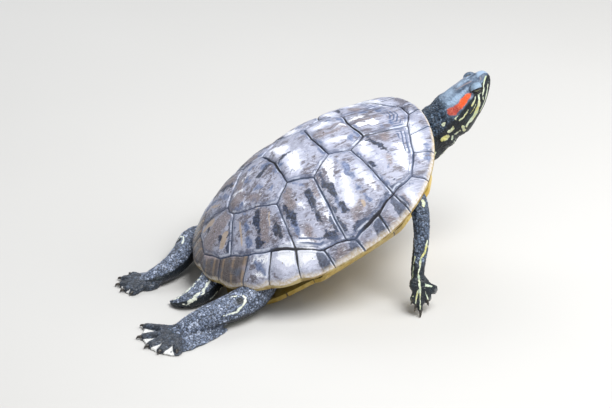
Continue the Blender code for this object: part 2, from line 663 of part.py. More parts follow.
def add_foot(name, foot, look):
    count = len(FOOT_RINGS)
    height = foot["height"] * MM

    def place(segment, ring):
        upper = ring <= count
        pole = ring in (0, 2 * count + 1)
        share = 0.0 if pole else FOOT_RINGS[ring - 1] if upper else FOOT_RINGS[2 * count - ring]
        heading = 360.0 * segment / FOOT_SEGMENTS
        on_toe, _ = fan(heading, foot["toes"])
        out = foot_reach(heading, foot) * share
        toe_top = 2 * TOE_RADIUS * (0.55 + 0.45 * on_toe)
        top = toe_top + (height - toe_top) * max(0.0, 1.0 - (out / (0.017)) ** 1.6)
        if share == 1.0:
            top *= 0.62
        under = 0.9 * MM if share == 1.0 else -0.3 * MM
        ray = Vector((math.cos(math.radians(heading)), math.sin(math.radians(heading)), 0.0))
        return stance(foot) @ (ray * out + Vector((0.0, 0.0, top if upper else under)))

    made = reshaped_sphere(name, FOOT_SEGMENTS, 2 * count, place, look)
    claws = bmesh.new()
    for angle, reach_to in foot["toes"]:
        cone = bmesh.ops.create_cone(claws, cap_ends=True, segments=6, radius1=1.35 * MM, radius2=0.3 * MM,
                                     depth=foot["claw"] * MM)
        spin = Matrix.Rotation(math.radians(angle), 4, "Z") @ Matrix.Rotation(math.radians(97), 4, "Y")
        ray = Vector((math.cos(math.radians(angle)), math.sin(math.radians(angle)), 0.0))
        middle = ray * (reach_to - 2.6 + foot["claw"] / 2) * MM + Vector((0, 0, 1.9 * MM))
        bmesh.ops.transform(claws, matrix=stance(foot) @ Matrix.Translation(middle) @ spin, verts=cone["verts"])
    bmesh.ops.triangulate(claws, faces=claws.faces)
    boolean(made, finished(name + "_claws", claws, DARK_SKIN, cutter=True), "UNION")
    return made


# ---- put together

def reflected(stations, shift=Vector()):
    return tuple(((x + shift.x / MM, -y, z), wide, tall) for (x, y, z), wide, tall in stations)


add_midline_scutes()
add_pleurals()
add_marginals()
plastron = add_plastron()
trunk = add_trunk()
shell_cutter = add_shell_cutter()
plastron_cutter = grown(plastron, 1.0 * MM)
trunk_cutter = grown(trunk, GAP * 1.4)

floor_block = bmesh.new()
bmesh.ops.create_cube(floor_block, size=1.0)
bmesh.ops.transform(floor_block, matrix=Matrix.Translation((0.05, 0, -0.05)) @ Matrix.Diagonal((1, 1, 0.1, 1)),
                    verts=floor_block.verts)
floor_cutter = finished("floor_cutter", floor_block, DARK_SKIN, cutter=True)
boolean(plastron, floor_cutter)

add_head_group()
neck = tube("neck", NECK_STATIONS, 18, 2, BLUE_SKIN, end_tangent=head_forward, round_end=False)
boolean(neck, trunk_cutter)
boolean(neck, shell_cutter)
boolean(neck, plastron_cutter)

tail = tube("tail", TAIL_STATIONS, 12, 2, BLUE_SKIN)
for other in (trunk_cutter, shell_cutter, plastron_cutter, floor_cutter):
    boolean(tail, other)

for place, stations, foot in (
    ("fore_right", FORELEG_STATIONS, FORE_FOOT),
    ("fore_left", reflected(FORELEG_STATIONS, FAR_FORELEG_SHIFT), FAR_FORE_FOOT),
    ("hind_right", HINDLEG_STATIONS, HIND_FOOT),
    ("hind_left", FAR_HINDLEG_STATIONS, FAR_HIND_FOOT),
):
    sole = add_foot("foot_" + place, foot, BLUE_SKIN)
    boolean(sole, floor_cutter)
    leg = tube("leg_" + place, stations, 12, 2, BLUE_SKIN, up=Vector((-0.3, 0, 1)))
    for other in (trunk_cutter, shell_cutter, plastron_cutter, grown(sole, GAP * 1.4), floor_cutter):
        boolean(leg, other)
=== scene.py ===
# %% [markdown]
# # A red-eared slider at life size
# The model is one animal: a shell of horny plates over a body of scaly skin. The solids of the
# frame give the outline; this lesson gives them the surface of a living turtle.

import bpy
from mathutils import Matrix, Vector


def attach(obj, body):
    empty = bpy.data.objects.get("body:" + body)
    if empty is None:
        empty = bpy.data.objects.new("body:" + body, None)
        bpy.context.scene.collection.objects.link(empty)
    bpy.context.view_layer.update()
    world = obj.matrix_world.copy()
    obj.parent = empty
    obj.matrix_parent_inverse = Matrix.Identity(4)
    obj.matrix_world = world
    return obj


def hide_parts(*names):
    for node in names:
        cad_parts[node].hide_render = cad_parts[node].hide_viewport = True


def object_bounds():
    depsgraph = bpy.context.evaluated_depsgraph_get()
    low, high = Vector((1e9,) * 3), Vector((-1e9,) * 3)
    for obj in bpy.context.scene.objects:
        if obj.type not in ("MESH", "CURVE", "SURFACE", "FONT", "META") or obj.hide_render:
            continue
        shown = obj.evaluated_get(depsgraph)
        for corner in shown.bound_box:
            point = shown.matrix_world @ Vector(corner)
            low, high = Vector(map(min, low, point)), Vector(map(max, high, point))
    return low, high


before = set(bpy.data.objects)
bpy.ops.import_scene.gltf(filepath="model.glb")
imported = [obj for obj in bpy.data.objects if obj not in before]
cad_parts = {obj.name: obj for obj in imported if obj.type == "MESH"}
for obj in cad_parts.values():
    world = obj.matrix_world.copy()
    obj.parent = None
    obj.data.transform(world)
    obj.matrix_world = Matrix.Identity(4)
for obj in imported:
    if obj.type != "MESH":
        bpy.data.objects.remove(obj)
cad_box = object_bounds()
print("solids:", len(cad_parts), "box:", [[round(v, 3) for v in corner] for corner in cad_box])

# %% Tools for meshes
import math

import bpy
import numpy as np
from mathutils import Matrix, Vector, noise

MM = 0.001


def vectors(parts, kind):
    """One vector for each vertex or face of a mesh, as the rows of an array."""
    found = np.empty(len(parts) * 3, np.float32)
    parts.foreach_get(kind, found)
    return found.reshape(-1, 3).astype(float)


def positions(item):
    return vectors(item.data.vertices, "co")


def move_points(item, points):
    item.data.vertices.foreach_set("co", np.asarray(points, np.float32).ravel())
    item.data.update()


def note(item, **fields):
    """Writes numbers on the points of a mesh, under the names that a material reads them by."""
    for name, values in fields.items():
        field = item.data.attributes.new(name, "FLOAT", "POINT")
        field.data.foreach_set("value", np.asarray(values, np.float32))


def globe(name, segments, rings):
    """A new ball, and for each of its points the ring it lies on, from the top, and the angle round."""
    bpy.ops.mesh.primitive_uv_sphere_add(segments=segments, ring_count=rings + 1, radius=1.0)
    item = bpy.context.object
    item.name = item.data.name = name
    x, y, z = positions(item).T
    return item, np.rint(np.arccos(np.clip(z, -1, 1)) / math.pi * (rings + 1)).astype(int), np.arctan2(y, x)


def select_only(items):
    bpy.ops.object.select_all(action="DESELECT")
    for item in items:
        item.select_set(True)
    bpy.context.view_layer.objects.active = items[0]


def dressed(item, look, replaced=(), angle=40):
    """Shades a finished piece, gives it its material and fixes it to the body."""
    select_only([item])
    bpy.ops.object.shade_smooth_by_angle(angle=math.radians(angle))
    item.select_set(False)
    item.data.materials.clear()
    item.data.materials.append(look)
    if replaced:
        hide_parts(*replaced)
    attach(item, "root")


# %% Tools for numbers
def smooth(value, start, end):
    """0 before start, 1 after end, and an even curve between."""
    share = np.clip((value - start) / (end - start), 0.0, 1.0)
    return share * share * (3 - 2 * share)


def ripple(points, scale, seed):
    """Smooth noise from -1 to 1 for each point, on a plane or in space."""
    spots = points * scale
    spots = spots + seed if points.shape[1] == 3 else np.column_stack([spots, np.full(len(spots), seed)])
    return np.array([noise.noise(Vector(spot)) for spot in spots])


def steps_round(angle, count):
    """Which of the count steps round a globe an angle is."""
    return np.rint(angle / (2 * math.pi) * count).astype(int) % count


def turn_from(start, headings):
    """Degrees from one heading to others, the short way round."""
    return (headings - start + 180) % 360 - 180


print("a smooth step at 0, 1/4, 1/2, 3/4 and 1:", smooth(np.linspace(0, 1, 5), 0, 1).round(2))

# %% [markdown]
# ## Writing materials as sums
# A procedural material is a chain of small sums on patterns. Wrapping a socket in a class that
# knows + - * / lets each one be read as a formula, where a drawn node tree would take a page.

# %% A class for sockets
class Value:
    """One output of a material's nodes. Sums on it add Math nodes."""

    def __init__(self, finish, socket):
        self.finish, self.socket = finish, socket

    def sum(self, operation, *values):
        return self.finish.node("Math", {"operation": operation}, *values)

    def __add__(self, other):
        return self.sum("ADD", self, other)

    def __sub__(self, other):
        return self.sum("SUBTRACT", self, other)

    def __rsub__(self, other):
        return self.sum("SUBTRACT", other, self)

    def __mul__(self, other):
        return self.sum("MULTIPLY", self, other)

    __radd__, __rmul__ = __add__, __mul__

    def ramp(self, start, end):
        """0 at start and 1 at end, eased."""
        return self.finish.node("MapRange", {"interpolation_type": "SMOOTHSTEP"}, self, start, end, 0.0, 1.0)


# %% A class for materials
class Finish:
    """A material that is written as sums and ends in one Principled shader."""

    def __init__(self, name, **constants):
        self.material = bpy.data.materials.new(name)
        self.material.use_nodes = True
        self.shader = self.material.node_tree.nodes["Principled BSDF"]
        for socket, value in constants.items():
            self.shader.inputs[socket.replace("_", " ")].default_value = value

    def node(self, kind, settings, *values, out=0, **named):
        """Adds a node, makes its settings, then fills its sockets by place or by name."""
        made = self.material.node_tree.nodes.new("ShaderNode" + kind)
        for key, value in settings.items():
            setattr(made, key, value)
        for key, value in [*enumerate(values), *named.items()]:
            self.plug(made.inputs[key if isinstance(key, int) else key.replace("_", " ")], value)
        return Value(self, made.outputs[out])

    def plug(self, socket, value):
        if isinstance(value, Value):
            self.material.node_tree.links.new(value.socket, socket)
        elif value is not None:
            tint = isinstance(value, tuple) and socket.type == "RGBA"
            socket.default_value = (*value, 1.0) if tint else value

    def __getitem__(self, name):
        """What note() wrote on the mesh under a name."""
        return self.node("Attribute", {"attribute_name": name}, out=2)

    def place(self, stretch=(1.0, 1.0, 1.0), turn=(0.0, 0.0, 0.0)):
        here = self.node("TexCoord", {}, out=3)
        return self.node("Mapping", {"vector_type": "POINT"}, here, None, turn, stretch)

    def noise(self, scale, detail=3.0, rough=0.55, vector=None, warp=0.0):
        return self.node("TexNoise", {}, Vector=vector or self.place(), Scale=scale, Detail=detail,
                         Roughness=rough, Distortion=warp)

    def mix(self, first, second, share):
        return self.node("Mix", {"data_type": "RGBA"}, share, *[None] * 5, first, second, out=2)

    def layers(self, colour, *coats):
        """Lays coats over a colour. Each coat is a colour and the share of it that covers."""
        for coat, share in coats:
            colour = self.mix(colour, coat, share)
        return colour

    def finished(self, colour, roughness, height=None, depth=0.3 * MM, coat=None):
        """Links what varies over the surface to the shader."""
        self.plug(self.shader.inputs["Base Color"], colour)
        self.plug(self.shader.inputs["Roughness"], roughness)
        self.plug(self.shader.inputs["Coat Weight"], coat)
        if height is not None:
            self.plug(self.shader.inputs["Normal"],
                      self.node("Bump", {}, Strength=1.0, Distance=depth, Height=height))
        print(self.material.name + ":", len(self.material.node_tree.nodes), "nodes")
        return self.material


# %% [markdown]
# ## The camera, the floor and the light
# The view is from the animal's right, a little behind and well above, through a long lens. A pale
# floor and broad soft lamps let the colours of the horn and the skin speak for themselves.

# %% Camera and floor
RIGHT, UP = Vector((0.9096, -0.4155, 0.0)), Vector((0.1954, 0.4277, 0.8826))
BACK = Vector((-0.3667, -0.8028, 0.4702))
FLOOR_SIZE = 6.0
camera = bpy.data.objects.new("camera", bpy.data.cameras.new("camera"))
bpy.context.scene.collection.objects.link(camera)
camera.location = Vector((0.0605, 0.0, 0.0527)) + BACK * 1.6 - RIGHT * 0.0079 - UP * 0.0004
camera.rotation_euler = Matrix((RIGHT, UP, BACK)).transposed().to_euler()
camera.data.lens, camera.data.sensor_width = 127.4, 36.0
bpy.context.scene.camera = camera
bpy.context.scene.view_settings.view_transform = "Standard"

bpy.ops.mesh.primitive_plane_add(size=FLOOR_SIZE, location=(0.0, 0.0, 0.0))
floor = bpy.context.object
floor.name = "floor"
look = Finish("pale_floor", Specular_IOR_Level=0.2)
floor.data.materials.append(look.finished(
    look.mix((0.56, 0.55, 0.53), (0.60, 0.59, 0.57), look.noise(3.0, 2.0)), 0.9))

# %% Lamps
# Width in metres, power in watts, place, the height aimed at, and colour.
LAMPS = {"sky_lamp": (0.8, 19.0, (0.35, -0.42, 1.15), 0.05, (0.98, 0.99, 1.0)),
         "front_lamp": (0.7, 5.0, (1.1, -0.4, 0.8), 0.06, (1.0, 0.98, 0.95)),
         "far_lamp": (0.9, 6.0, (-0.1, 1.0, 0.9), 0.05, (0.95, 0.97, 1.0)),
         "low_lamp": (0.8, 2.5, (-0.9, -0.9, 0.5), 0.05, (1.0, 0.97, 0.93))}
for name, (size, power, place, aim, colour) in LAMPS.items():
    lamp = bpy.data.objects.new(name, bpy.data.lights.new(name, "AREA"))
    bpy.context.scene.collection.objects.link(lamp)
    lamp.data.shape, lamp.data.size, lamp.data.energy, lamp.data.color = "DISK", size, power, colour
    lamp.location = place
    lamp.rotation_euler = (Vector((0.06, 0.0, aim)) - Vector(place)).to_track_quat("-Z", "Y").to_euler()
world = bpy.data.worlds.new("studio")
world.use_nodes = True
sky = world.node_tree.nodes["Background"].inputs
sky["Color"].default_value, sky["Strength"].default_value = (0.80, 0.84, 0.90, 1.0), 0.32
bpy.context.scene.world = world
print("lamps:", ", ".join(LAMPS))

# %% [markdown]
# ## The shape of the shell
# The carapace is one smooth dome, and every plate lies on it. The dome is a few formulas in
# shares of the shell's length, in a frame of its own that is pitched nose up.

# %% The shell's formulas
SHELL_LENGTH, SHELL_PITCH = 0.200, math.radians(22.3)
HALF_WIDTH, WIDEST_X = 0.38, 0.044
FRONT_POWER, REAR_POWER = 2.82, 2.68
DOME_HEIGHT, DOME_POWER, DOME_ROOT = 0.26, 2.14, 1.18
FRONT_RIM_RISE, REAR_RIM_RISE = 0.146, 0.032
RIM_THICKNESS, CROWN_THICKNESS, CAVITY_REACH = 0.020, 0.025, 0.93
REAR_NOTCH = 0.982
BELLY_DEPTH, BELLY_THICKNESS, BELLY_EDGE = 0.145, 0.020, 0.008
BRIDGE_HALF_WIDTH, BRIDGE_POWER, BELLY_GAP = 0.330, 6, 0.0015
REST_X, REST_FLAT = -0.38, 0.0012


def in_mm(shares):
    return shares * SHELL_LENGTH / MM


def rim_height(x):
    return np.where(np.asarray(x) > 0, FRONT_RIM_RISE, REAR_RIM_RISE) * (np.asarray(x) / 0.5) ** 2


def along_share(x):
    ahead = np.asarray(x) > WIDEST_X
    return np.abs(x - WIDEST_X) / np.where(ahead, 0.5 - WIDEST_X, 0.5 + WIDEST_X), \
        np.where(ahead, FRONT_POWER, REAR_POWER)


def rim_half_width(x):
    along, power = along_share(x)
    return HALF_WIDTH * np.sqrt(np.maximum(0.0, 1.0 - along ** power))


def reach(x, y):
    """0 in the middle of the shell and 1 at its rim, found by halving."""
    (along, power), across = along_share(x), np.abs(y) / HALF_WIDTH
    low, high = np.full(np.shape(along), 1e-6), np.full(np.shape(along), 4.0)
    for _ in range(32):
        middle = (low + high) / 2
        outside = (across / middle) ** 2 + (along / middle) ** power > 1.0
        low, high = np.where(outside, middle, low), np.where(outside, high, middle)
    return high


def dome(share):
    return np.maximum(0.0, 1.0 - np.minimum(1.0, share) ** DOME_POWER) ** (1.0 / DOME_ROOT)


def carapace_top(x, y):
    rim = rim_height(x)
    return rim + (DOME_HEIGHT - rim) * dome(reach(x, y))


def carapace_under(x, y):
    lip = rim_height(x) - RIM_THICKNESS
    return lip + (DOME_HEIGHT - CROWN_THICKNESS - lip) * dome(reach(x, y) / CAVITY_REACH)


def belly_bottom(x, y):
    keel = -BELLY_DEPTH + 2.56 * np.maximum(0.0, -0.30 - x) ** 2 + 0.70 * np.maximum(0.0, x - 0.22) ** 2
    side = np.minimum(1.0, np.abs(y) / BRIDGE_HALF_WIDTH) ** BRIDGE_POWER
    edge = rim_height(x) - RIM_THICKNESS - BELLY_GAP - BELLY_EDGE
    return keel + (edge - keel) * side


# %% Where the shell stands
TILT = np.array(Matrix.Rotation(-SHELL_PITCH, 3, "Y"))
SHELL_ORIGIN = -TILT @ np.array([REST_X, 0.0, float(belly_bottom(REST_X, 0.0))]) * SHELL_LENGTH \
    - np.array([0.0, 0.0, REST_FLAT])


def from_shell(x, y, z):
    """Points given in shares of the shell's length, moved to where the shell stands."""
    return np.stack([x, y, z], -1) * SHELL_LENGTH @ TILT.T + SHELL_ORIGIN


def to_shell(points):
    return (points - SHELL_ORIGIN) @ TILT / SHELL_LENGTH


print("middle of the shell at", SHELL_ORIGIN.round(3))
print("crown", in_mm(carapace_top(0.0, 0.0)).round(1), "mm over it")

# %% [markdown]
# ## Where the seams run
# A slider's carapace has a nuchal, five vertebrals, four pleurals and twelve marginals a side.
# The junctions of their seams are named here, on the left half; the right half mirrors them.
# A seam wanders a little in real horn, so one wobble field bends both plates that share it.

# %% Junctions
NUCHAL_IN, V1_FRONT, V12 = (0.448, 0.033), (0.410, 0.095), (0.245, 0.090)
V2_SIDE, V23, V3_SIDE, V34 = (0.172, 0.135), (0.095, 0.106), (0.000, 0.157), (-0.088, 0.111)
V4_SIDE, V45, V5_REAR, P23_LOW = (-0.162, 0.148), (-0.300, 0.028), (-0.390, 0.131), (-0.030, 0.350)
KEEL_SEAMS = (0.233, 0.085, -0.075, -0.306)
MARGINAL_IN = (NUCHAL_IN, (0.391, 0.146), (0.358, 0.223), (0.300, 0.295), (0.203, 0.320), (0.120, 0.341),
               (0.000, 0.355), (-0.116, 0.337), (-0.196, 0.293), (-0.270, 0.244), (-0.342, 0.191),
               (-0.423, 0.093), (-0.456, 0.0))
MARGINAL_OUT_X = (0.4994, 0.480, 0.425, 0.343, 0.225, 0.123, 0.012, -0.110, -0.237, -0.343, -0.420,
                  -0.478, -0.500)
INNER_CORNERS = {1: [V1_FRONT], 7: [P23_LOW], 11: [V5_REAR]}
NOTCHED_FROM, NOTCH_BULGE = 8, 0.016
SEAM_STEP, SEAM_HALF_GAP, SEAM_WANDER = 0.0055, 0.0005, 0.0035


# %% Seams and outlines
def seam(start, end):
    steps = max(2, round(math.dist(start, end) / SEAM_STEP))
    return [(start[0] + (end[0] - start[0]) * i / steps, start[1] + (end[1] - start[1]) * i / steps)
            for i in range(steps)]


def path_along(corners):
    return [point for start, end in zip(corners, corners[1:]) for point in seam(start, end)]


def rim_point(index):
    x = MARGINAL_OUT_X[index]
    y = float(rim_half_width(x))
    if index < NOTCHED_FROM:
        return x, y
    return WIDEST_X + (x - WIDEST_X) * REAR_NOTCH, y * REAR_NOTCH


def rim_curve(index):
    """The outer edge of a marginal, from its front corner to its rear one; it bulges between notches."""
    start, end = rim_point(index - 1), rim_point(index)
    ends = [float(reach(*start)), float(reach(*end))]
    steps = max(4, round(math.dist(start, end) / SEAM_STEP))
    points = []
    for i in range(steps):
        share = i / steps
        x, y = (start[k] + (end[k] - start[k]) * share for k in (0, 1))
        bulge = NOTCH_BULGE * math.sin(math.pi * share) if index >= NOTCHED_FROM else 0.0
        scale = (ends[0] + (ends[1] - ends[0]) * share + bulge) / float(reach(x, y))
        points.append((WIDEST_X + (x - WIDEST_X) * scale, y * scale))
    return points


def wandering(loop):
    """The seam's own waver, the same on the left and the right side of every seam."""
    moved = []
    for x, y in loop:
        here = Vector((x * 26.0, abs(y) * 26.0, 3.7))
        inner = 1.0 - float(smooth(reach(x, y), 0.93, 0.98))
        aside = math.copysign(1.0, y) * min(1.0, abs(y) / 0.02)
        moved.append((x + SEAM_WANDER * inner * noise.noise(here),
                      y + aside * SEAM_WANDER * inner * noise.noise(here + Vector((9.1, 4.3, 0.0)))))
    return moved


def area_of(loop):
    """Twice the area inside an outline; negative if it runs clockwise."""
    return sum(a[0] * b[1] - b[0] * a[1] for a, b in zip(loop, loop[1:] + loop[:1]))


def counter_clockwise(loop):
    return loop if area_of(loop) > 0 else loop[::-1]


def drawn_in(loop, by):
    """The same outline moved inwards by a distance."""
    line = np.array(loop)
    along = np.roll(line, -1, 0) - np.roll(line, 1, 0)
    along /= np.linalg.norm(along, axis=1, keepdims=True)
    return line + np.stack([-along[:, 1], along[:, 0]], -1) * by


def distance_to(loop, points, chosen):
    """How far each point is from the chosen edges of a closed outline."""
    start, end = loop[chosen], np.roll(loop, -1, 0)[chosen]
    edge = end - start
    share = np.einsum("mkc,kc->mk", points[:, None] - start, edge) / np.einsum("kc,kc->k", edge, edge)
    nearest = start + np.clip(share, 0, 1)[..., None] * edge
    return np.linalg.norm(points[:, None] - nearest, axis=2).min(1)


print("rim corners:", [tuple(round(v, 3) for v in rim_point(index)) for index in (0, 6, 12)])

# %% [markdown]
# ## One way to make every plate
# A plate is a globe that has been pressed flat: its north pole becomes the plate's oldest spot,
# the areola, its rings become growth rings, and its southern rings fold back underneath. The
# same function then makes a nuchal, a pleural or a rim plate from nothing but its outline.

# %% The plate maker
TOP_RINGS = [0.035, 0.07, *(round(0.11 + 0.04 * i, 2) for i in range(19)), 0.865, 0.90, 0.93, 0.955,
             0.975, 0.99, 1.0]
UNDER_RINGS = [1.0, 0.99, 0.96, 0.90, 0.6, 0.3]
KEEL_KNOBS = (0.205, 0.060, -0.100, -0.270)


def keel_height(x, y):
    """The blunt knob near the rear of each vertebral, in millimetres."""
    knobs = sum(np.exp(-((x - knob) / 0.022) ** 2) for knob in KEEL_KNOBS)
    return np.exp(-(y / 0.030) ** 2) * (0.5 + 1.7 * knobs)


def plate(name, loop, heart, rim_edges=0, swell=0.0060, rings=9, relief=1.0, seed=1.0):
    """A horny plate over an outline. Its oldest spot is `heart`; `rim_edges` counts its free edges."""
    loop, heart = drawn_in(loop, SEAM_HALF_GAP), np.array(heart)
    count, tops = len(loop), len(TOP_RINGS)
    item, ring, angle = globe(name, count, tops + len(UNDER_RINGS))
    share = np.array([0.0, *TOP_RINGS, *UNDER_RINGS, 0.0])[ring]
    flat = heart + (loop[steps_round(angle, count)] - heart) * share[:, None]
    x, y = flat.T
    free = np.arange(count) < rim_edges
    to_seam = in_mm(distance_to(loop, flat, ~free))
    to_rim = in_mm(distance_to(loop, flat, free)) if rim_edges else np.full(len(flat), 99.0)

    waver = ripple(flat, 14.0, seed)
    phase = share + 0.05 * waver
    lines = np.abs(np.sin(math.pi * rings * phase ** 1.3)) ** 0.6
    fading = smooth(share, 0.1, 0.5) * (0.6 + 0.5 * ripple(flat, 9.0, seed + 2.0))
    high = in_mm(carapace_top(x, y)) + in_mm(swell) * (1 - share ** 2)
    high += relief * (0.34 * fading * (lines - 0.7) + 0.22 * ripple(flat, 60.0, seed + 5.0)
                      + 0.45 * waver * (1 - share ** 3))
    wear = np.abs(ripple(flat, 30.0, seed + 9.0))
    high += keel_height(x, y) + relief * 0.35 * wear * smooth(share, 0.3, 0.9)
    high -= 0.95 * (1 - smooth(to_seam, 0.0, 1.7)) ** 1.5 + 1.3 * (1 - smooth(to_rim, 0.0, 2.2)) ** 2
    low = in_mm(carapace_under(x, y)) + 0.9 * (1 - smooth(to_rim, 0.0, 2.0)) ** 2
    low = np.minimum(low, high - 0.9)
    move_points(item, from_shell(x, y, np.where(ring <= tops, high, low) * MM / SHELL_LENGTH))
    note(item, seam=to_seam, rim=to_rim, growth=phase, under=ring > tops)
    return item


print("rings in a plate:", len(TOP_RINGS), "above and", len(UNDER_RINGS), "below")

# %% [markdown]
# ## The marks on the horn
# Dry slider horn is grey-lilac with a pale bloom, and the bloom is worn and stained: bleached
# patches, which also stand in for painted reflections of the sky on the smooth horn, brown-grey
# fields, blue bands where an old ring shows through, and near-black spots.
# Each mark is a stroke between two spots of the shell, thick at one end and thin at the other,
# given in hundredths of the shell's length. Noise bends the strokes, so none has a clean edge,
# and the same strokes, bent otherwise, mark the left side.

# %% Strokes on the shell
MARKS = {
    "navy": [(25.5, 10.5, 26.7, 16.4, 0.6, 0.9), (27.3, 18, 27.9, 19.8, 0.45, 0.3),
        (19, 20.2, 19.9, 22, 0.9, 1.1), (2.7, 16.4, 1.9, 19, 0.9, 0.7), (1.9, 19.4, 2.7, 24, 0.8, 1),
        (2.6, 27.5, 2.8, 29.4, 0.6, 0.6), (-5, 19.5, -5.3, 21, 1, 0.9), (-5.7, 22.2, -6.3, 24.6, 0.7, 0.9),
        (-6.3, 25.6, -6.8, 28.9, 0.7, 0.7), (-0.5, 26.2, -0.9, 27.8, 0.6, 0.5),
        (-3.6, 31, -1.4, 32, 1.3, 1.3), (-7.4, 32.2, -5.6, 32.9, 1, 1.1), (-14.6, 18.6, -14.4, 22.8, 1.2, 1),
        (-20.2, 18.6, -21.4, 23.8, 0.8, 1.2), (-23, 11.8, -29, 20.3, 0.8, 0.8),
        (29.6, 28.7, 20.4, 31.3, 0.2, 0.45), (20.2, 31.4, 12.2, 33.1, 0.5, 0.6),
        (12, 33.2, 1.5, 34.5, 0.6, 0.5), (-1, 0, -15.5, 0, 0.45, 0.5), (-31.8, 4.2, -38.6, 11, 0.6, 0.8),
        (-38.2, 4.6, -40, 5.4, 0.6, 0.5)],
    "slate": [(18, 19, 20.2, 30.8, 0.5, 1.3), (20, 22.2, 21.8, 25.4, 0.9, 0.6),
        (18.2, 16.4, 18.8, 18.4, 0.7, 0.6), (10.5, 14, 10.2, 15.6, 0.8, 0.6),
        (12, 17.6, 11.3, 20.8, 0.7, 0.8), (11.7, 22, 11.8, 23.2, 0.9, 0.8), (11.3, 26, 11.5, 27.4, 0.9, 0.9),
        (11.6, 28.5, 11.4, 30, 0.8, 0.9), (2.6, 23.6, 1.8, 28.5, 1.2, 0.8), (-4.8, 15.8, -4.3, 17.4, 1, 0.9),
        (-7.3, 12.9, -7, 14.6, 0.7, 0.6), (-5.4, 20.5, -6.6, 26.5, 1.3, 1),
        (-14.8, 22.6, -17.2, 28.2, 1.3, 0.6), (-27, 8.2, -32.2, 17.4, 1.1, 1.4),
        (-24.5, 13.8, -26.4, 16.4, 1.4, 1), (-9.8, 3.2, -6.6, 2.4, 1.7, 1),
        (-15.2, 8.6, -11.8, 8.4, 0.7, 0.6), (-18.5, 3, -16.6, 5.6, 1, 0.8), (-26.4, 3.6, -27.6, 3, 1.2, 0.8),
        (24, 2, 23, 8.6, 0.8, 0.6), (9.6, 2, 8.6, 9.8, 0.9, 1.1), (33.4, 6.4, 31, 9, 1.2, 0.8),
        (20.6, 7.4, 19.6, 8.2, 0.8, 0.6), (41, 22, 37.4, 30, 0.8, 0.8), (-34, 22.5, -33, 26, 1.3, 0.8),
        (-36.2, 19, -38, 21, 0.9, 0.6), (37.6, 4, 36.4, 7, 0.5, 0.4)],
    # Bleached strokes: partly real bleaching, partly painted reflection of the sky on the smooth horn.
    "bleached": [(26.6, 2, 31.6, 3.2, 1.7, 1.9), (6.6, 14.6, 4.8, 19.6, 2.4, 1.7),
        (33.2, 18.8, 30, 25.4, 1.7, 2.2), (22.4, 13, 21.2, 16.4, 1.6, 1.5), (-1.6, 3.8, -2.8, 8, 3, 2.4),
        (14, 6, 19, 7.2, 1.6, 1.3), (8.6, 22, 6, 28, 1.6, 2), (14.6, 23, 16.2, 28.6, 1.2, 1.4),
        (-1.8, 23, -4, 28.2, 1.3, 1.3), (42, 8, 38.4, 19.6, 1.4, 1.7), (26.4, 34, 24.8, 37, 1.2, 0.7),
        (-10, 20.8, -8.8, 22.4, 0.8, 0.6), (-18, 21, -18.6, 23.2, 0.9, 0.8),
        (-29, 25.5, -34, 21.5, 1.4, 1.5), (-13, 33.5, -22, 30, 1.4, 1.1), (40.6, 13, 37.6, 23, 2.4, 2.6),
        (-16, 31.4, -24, 28.4, 3.5, 3.3), (21.8, 0, 18.6, 0, 1, 0.7), (-14.6, 5, -18.8, 7.4, 1, 0.8),
        (-22, 1.6, -25, 4.4, 0.7, 0.7), (-36, 25, -32, 29, 0.9, 0.7)],
    "brown": [(31.6, 10.4, 30.4, 13.8, 2, 1.4), (27, 21.6, 26.2, 24, 0.9, 0.6), (9, 30.4, 4.6, 31.8, 1, 1.2),
        (-21.6, 13.8, -26.4, 20.6, 1.8, 1.9), (-12.2, 27.4, -13.4, 30.6, 1.4, 1.4),
        (-10.4, 14.6, -12.6, 18.4, 2, 2.2), (22.6, 34.6, 23.8, 36, 1.1, 0.8),
        (13.4, 35.8, 15, 37.2, 1.1, 0.9), (2.6, 37.4, 4.4, 38.2, 0.9, 0.8), (-5, 35.8, -9, 36.8, 1.2, 1),
        (21.6, 1.4, 10, 1.4, 1, 0.8), (-24.6, 0, -44, 1.4, 2.2, 3), (-19.6, 7.2, -22.4, 3.4, 1.4, 1.2),
        (35, 0, 27, 0, 1, 0.8), (0, 17.4, -2.2, 20.8, 1.4, 1.6)],
    "tan": [(-30, 8.4, -32.6, 12.6, 0.35, 0.5), (-32.6, 12.6, -34, 15.2, 0.5, 0.3),
        (-20.1, 15.4, -22.6, 19.2, 0.3, 0.3), (-22, 9.6, -22.5, 11, 0.5, 0.3),
        (9.6, 30.2, 9.2, 31, 0.7, 0.5), (-36.6, 6, -39.4, 7.6, 1.6, 1.2)],
    "pale": [(44, 10, 33, 27, 5, 4), (-14, 33, -27, 28, 4, 4), (1, 3, -7, 11, 6, 5),
        (30, 33, 18, 35, 3, 2.5), (20, 4, 10, 9, 4, 5), (28, 20, 8, 24, 5, 4)],
    "ringed": [(39.6, 1, 38.4, 7.8, 2, 1.8), (37.4, 10.4, 34.6, 21.4, 1.5, 1),
        (-10.8, 32.2, -16.4, 28.8, 0.9, 0.8)],
    "blotch": [],
}
for index in (4, 5, 6, 7):
    outer, inner = np.array(rim_point(index)), np.array(MARGINAL_IN[index])
    MARKS["blotch"].append((*(100 * (0.70 * outer + 0.30 * inner) - (1.6, 0)),
                            *(100 * (0.42 * outer + 0.58 * inner) - (1.2, 0)), 2.6, 1.8))
print("strokes:", {kind: len(marks) for kind, marks in MARKS.items()})


# %% Noting the strokes
def strokes(x, y, marks):
    """How far inside the nearest stroke each point is, in hundredths of the shell; negative outside."""
    best = np.full(len(x), -9.0)
    for x0, y0, x1, y1, start, end in marks:
        along, aside = x1 - x0, y1 - y0
        share = np.clip(((x - x0) * along + (y - y0) * aside) / (along ** 2 + aside ** 2), 0, 1)
        away = np.hypot(x - x0 - share * along, y - y0 - share * aside)
        best = np.maximum(best, start + (end - start) * share - away)
    return best


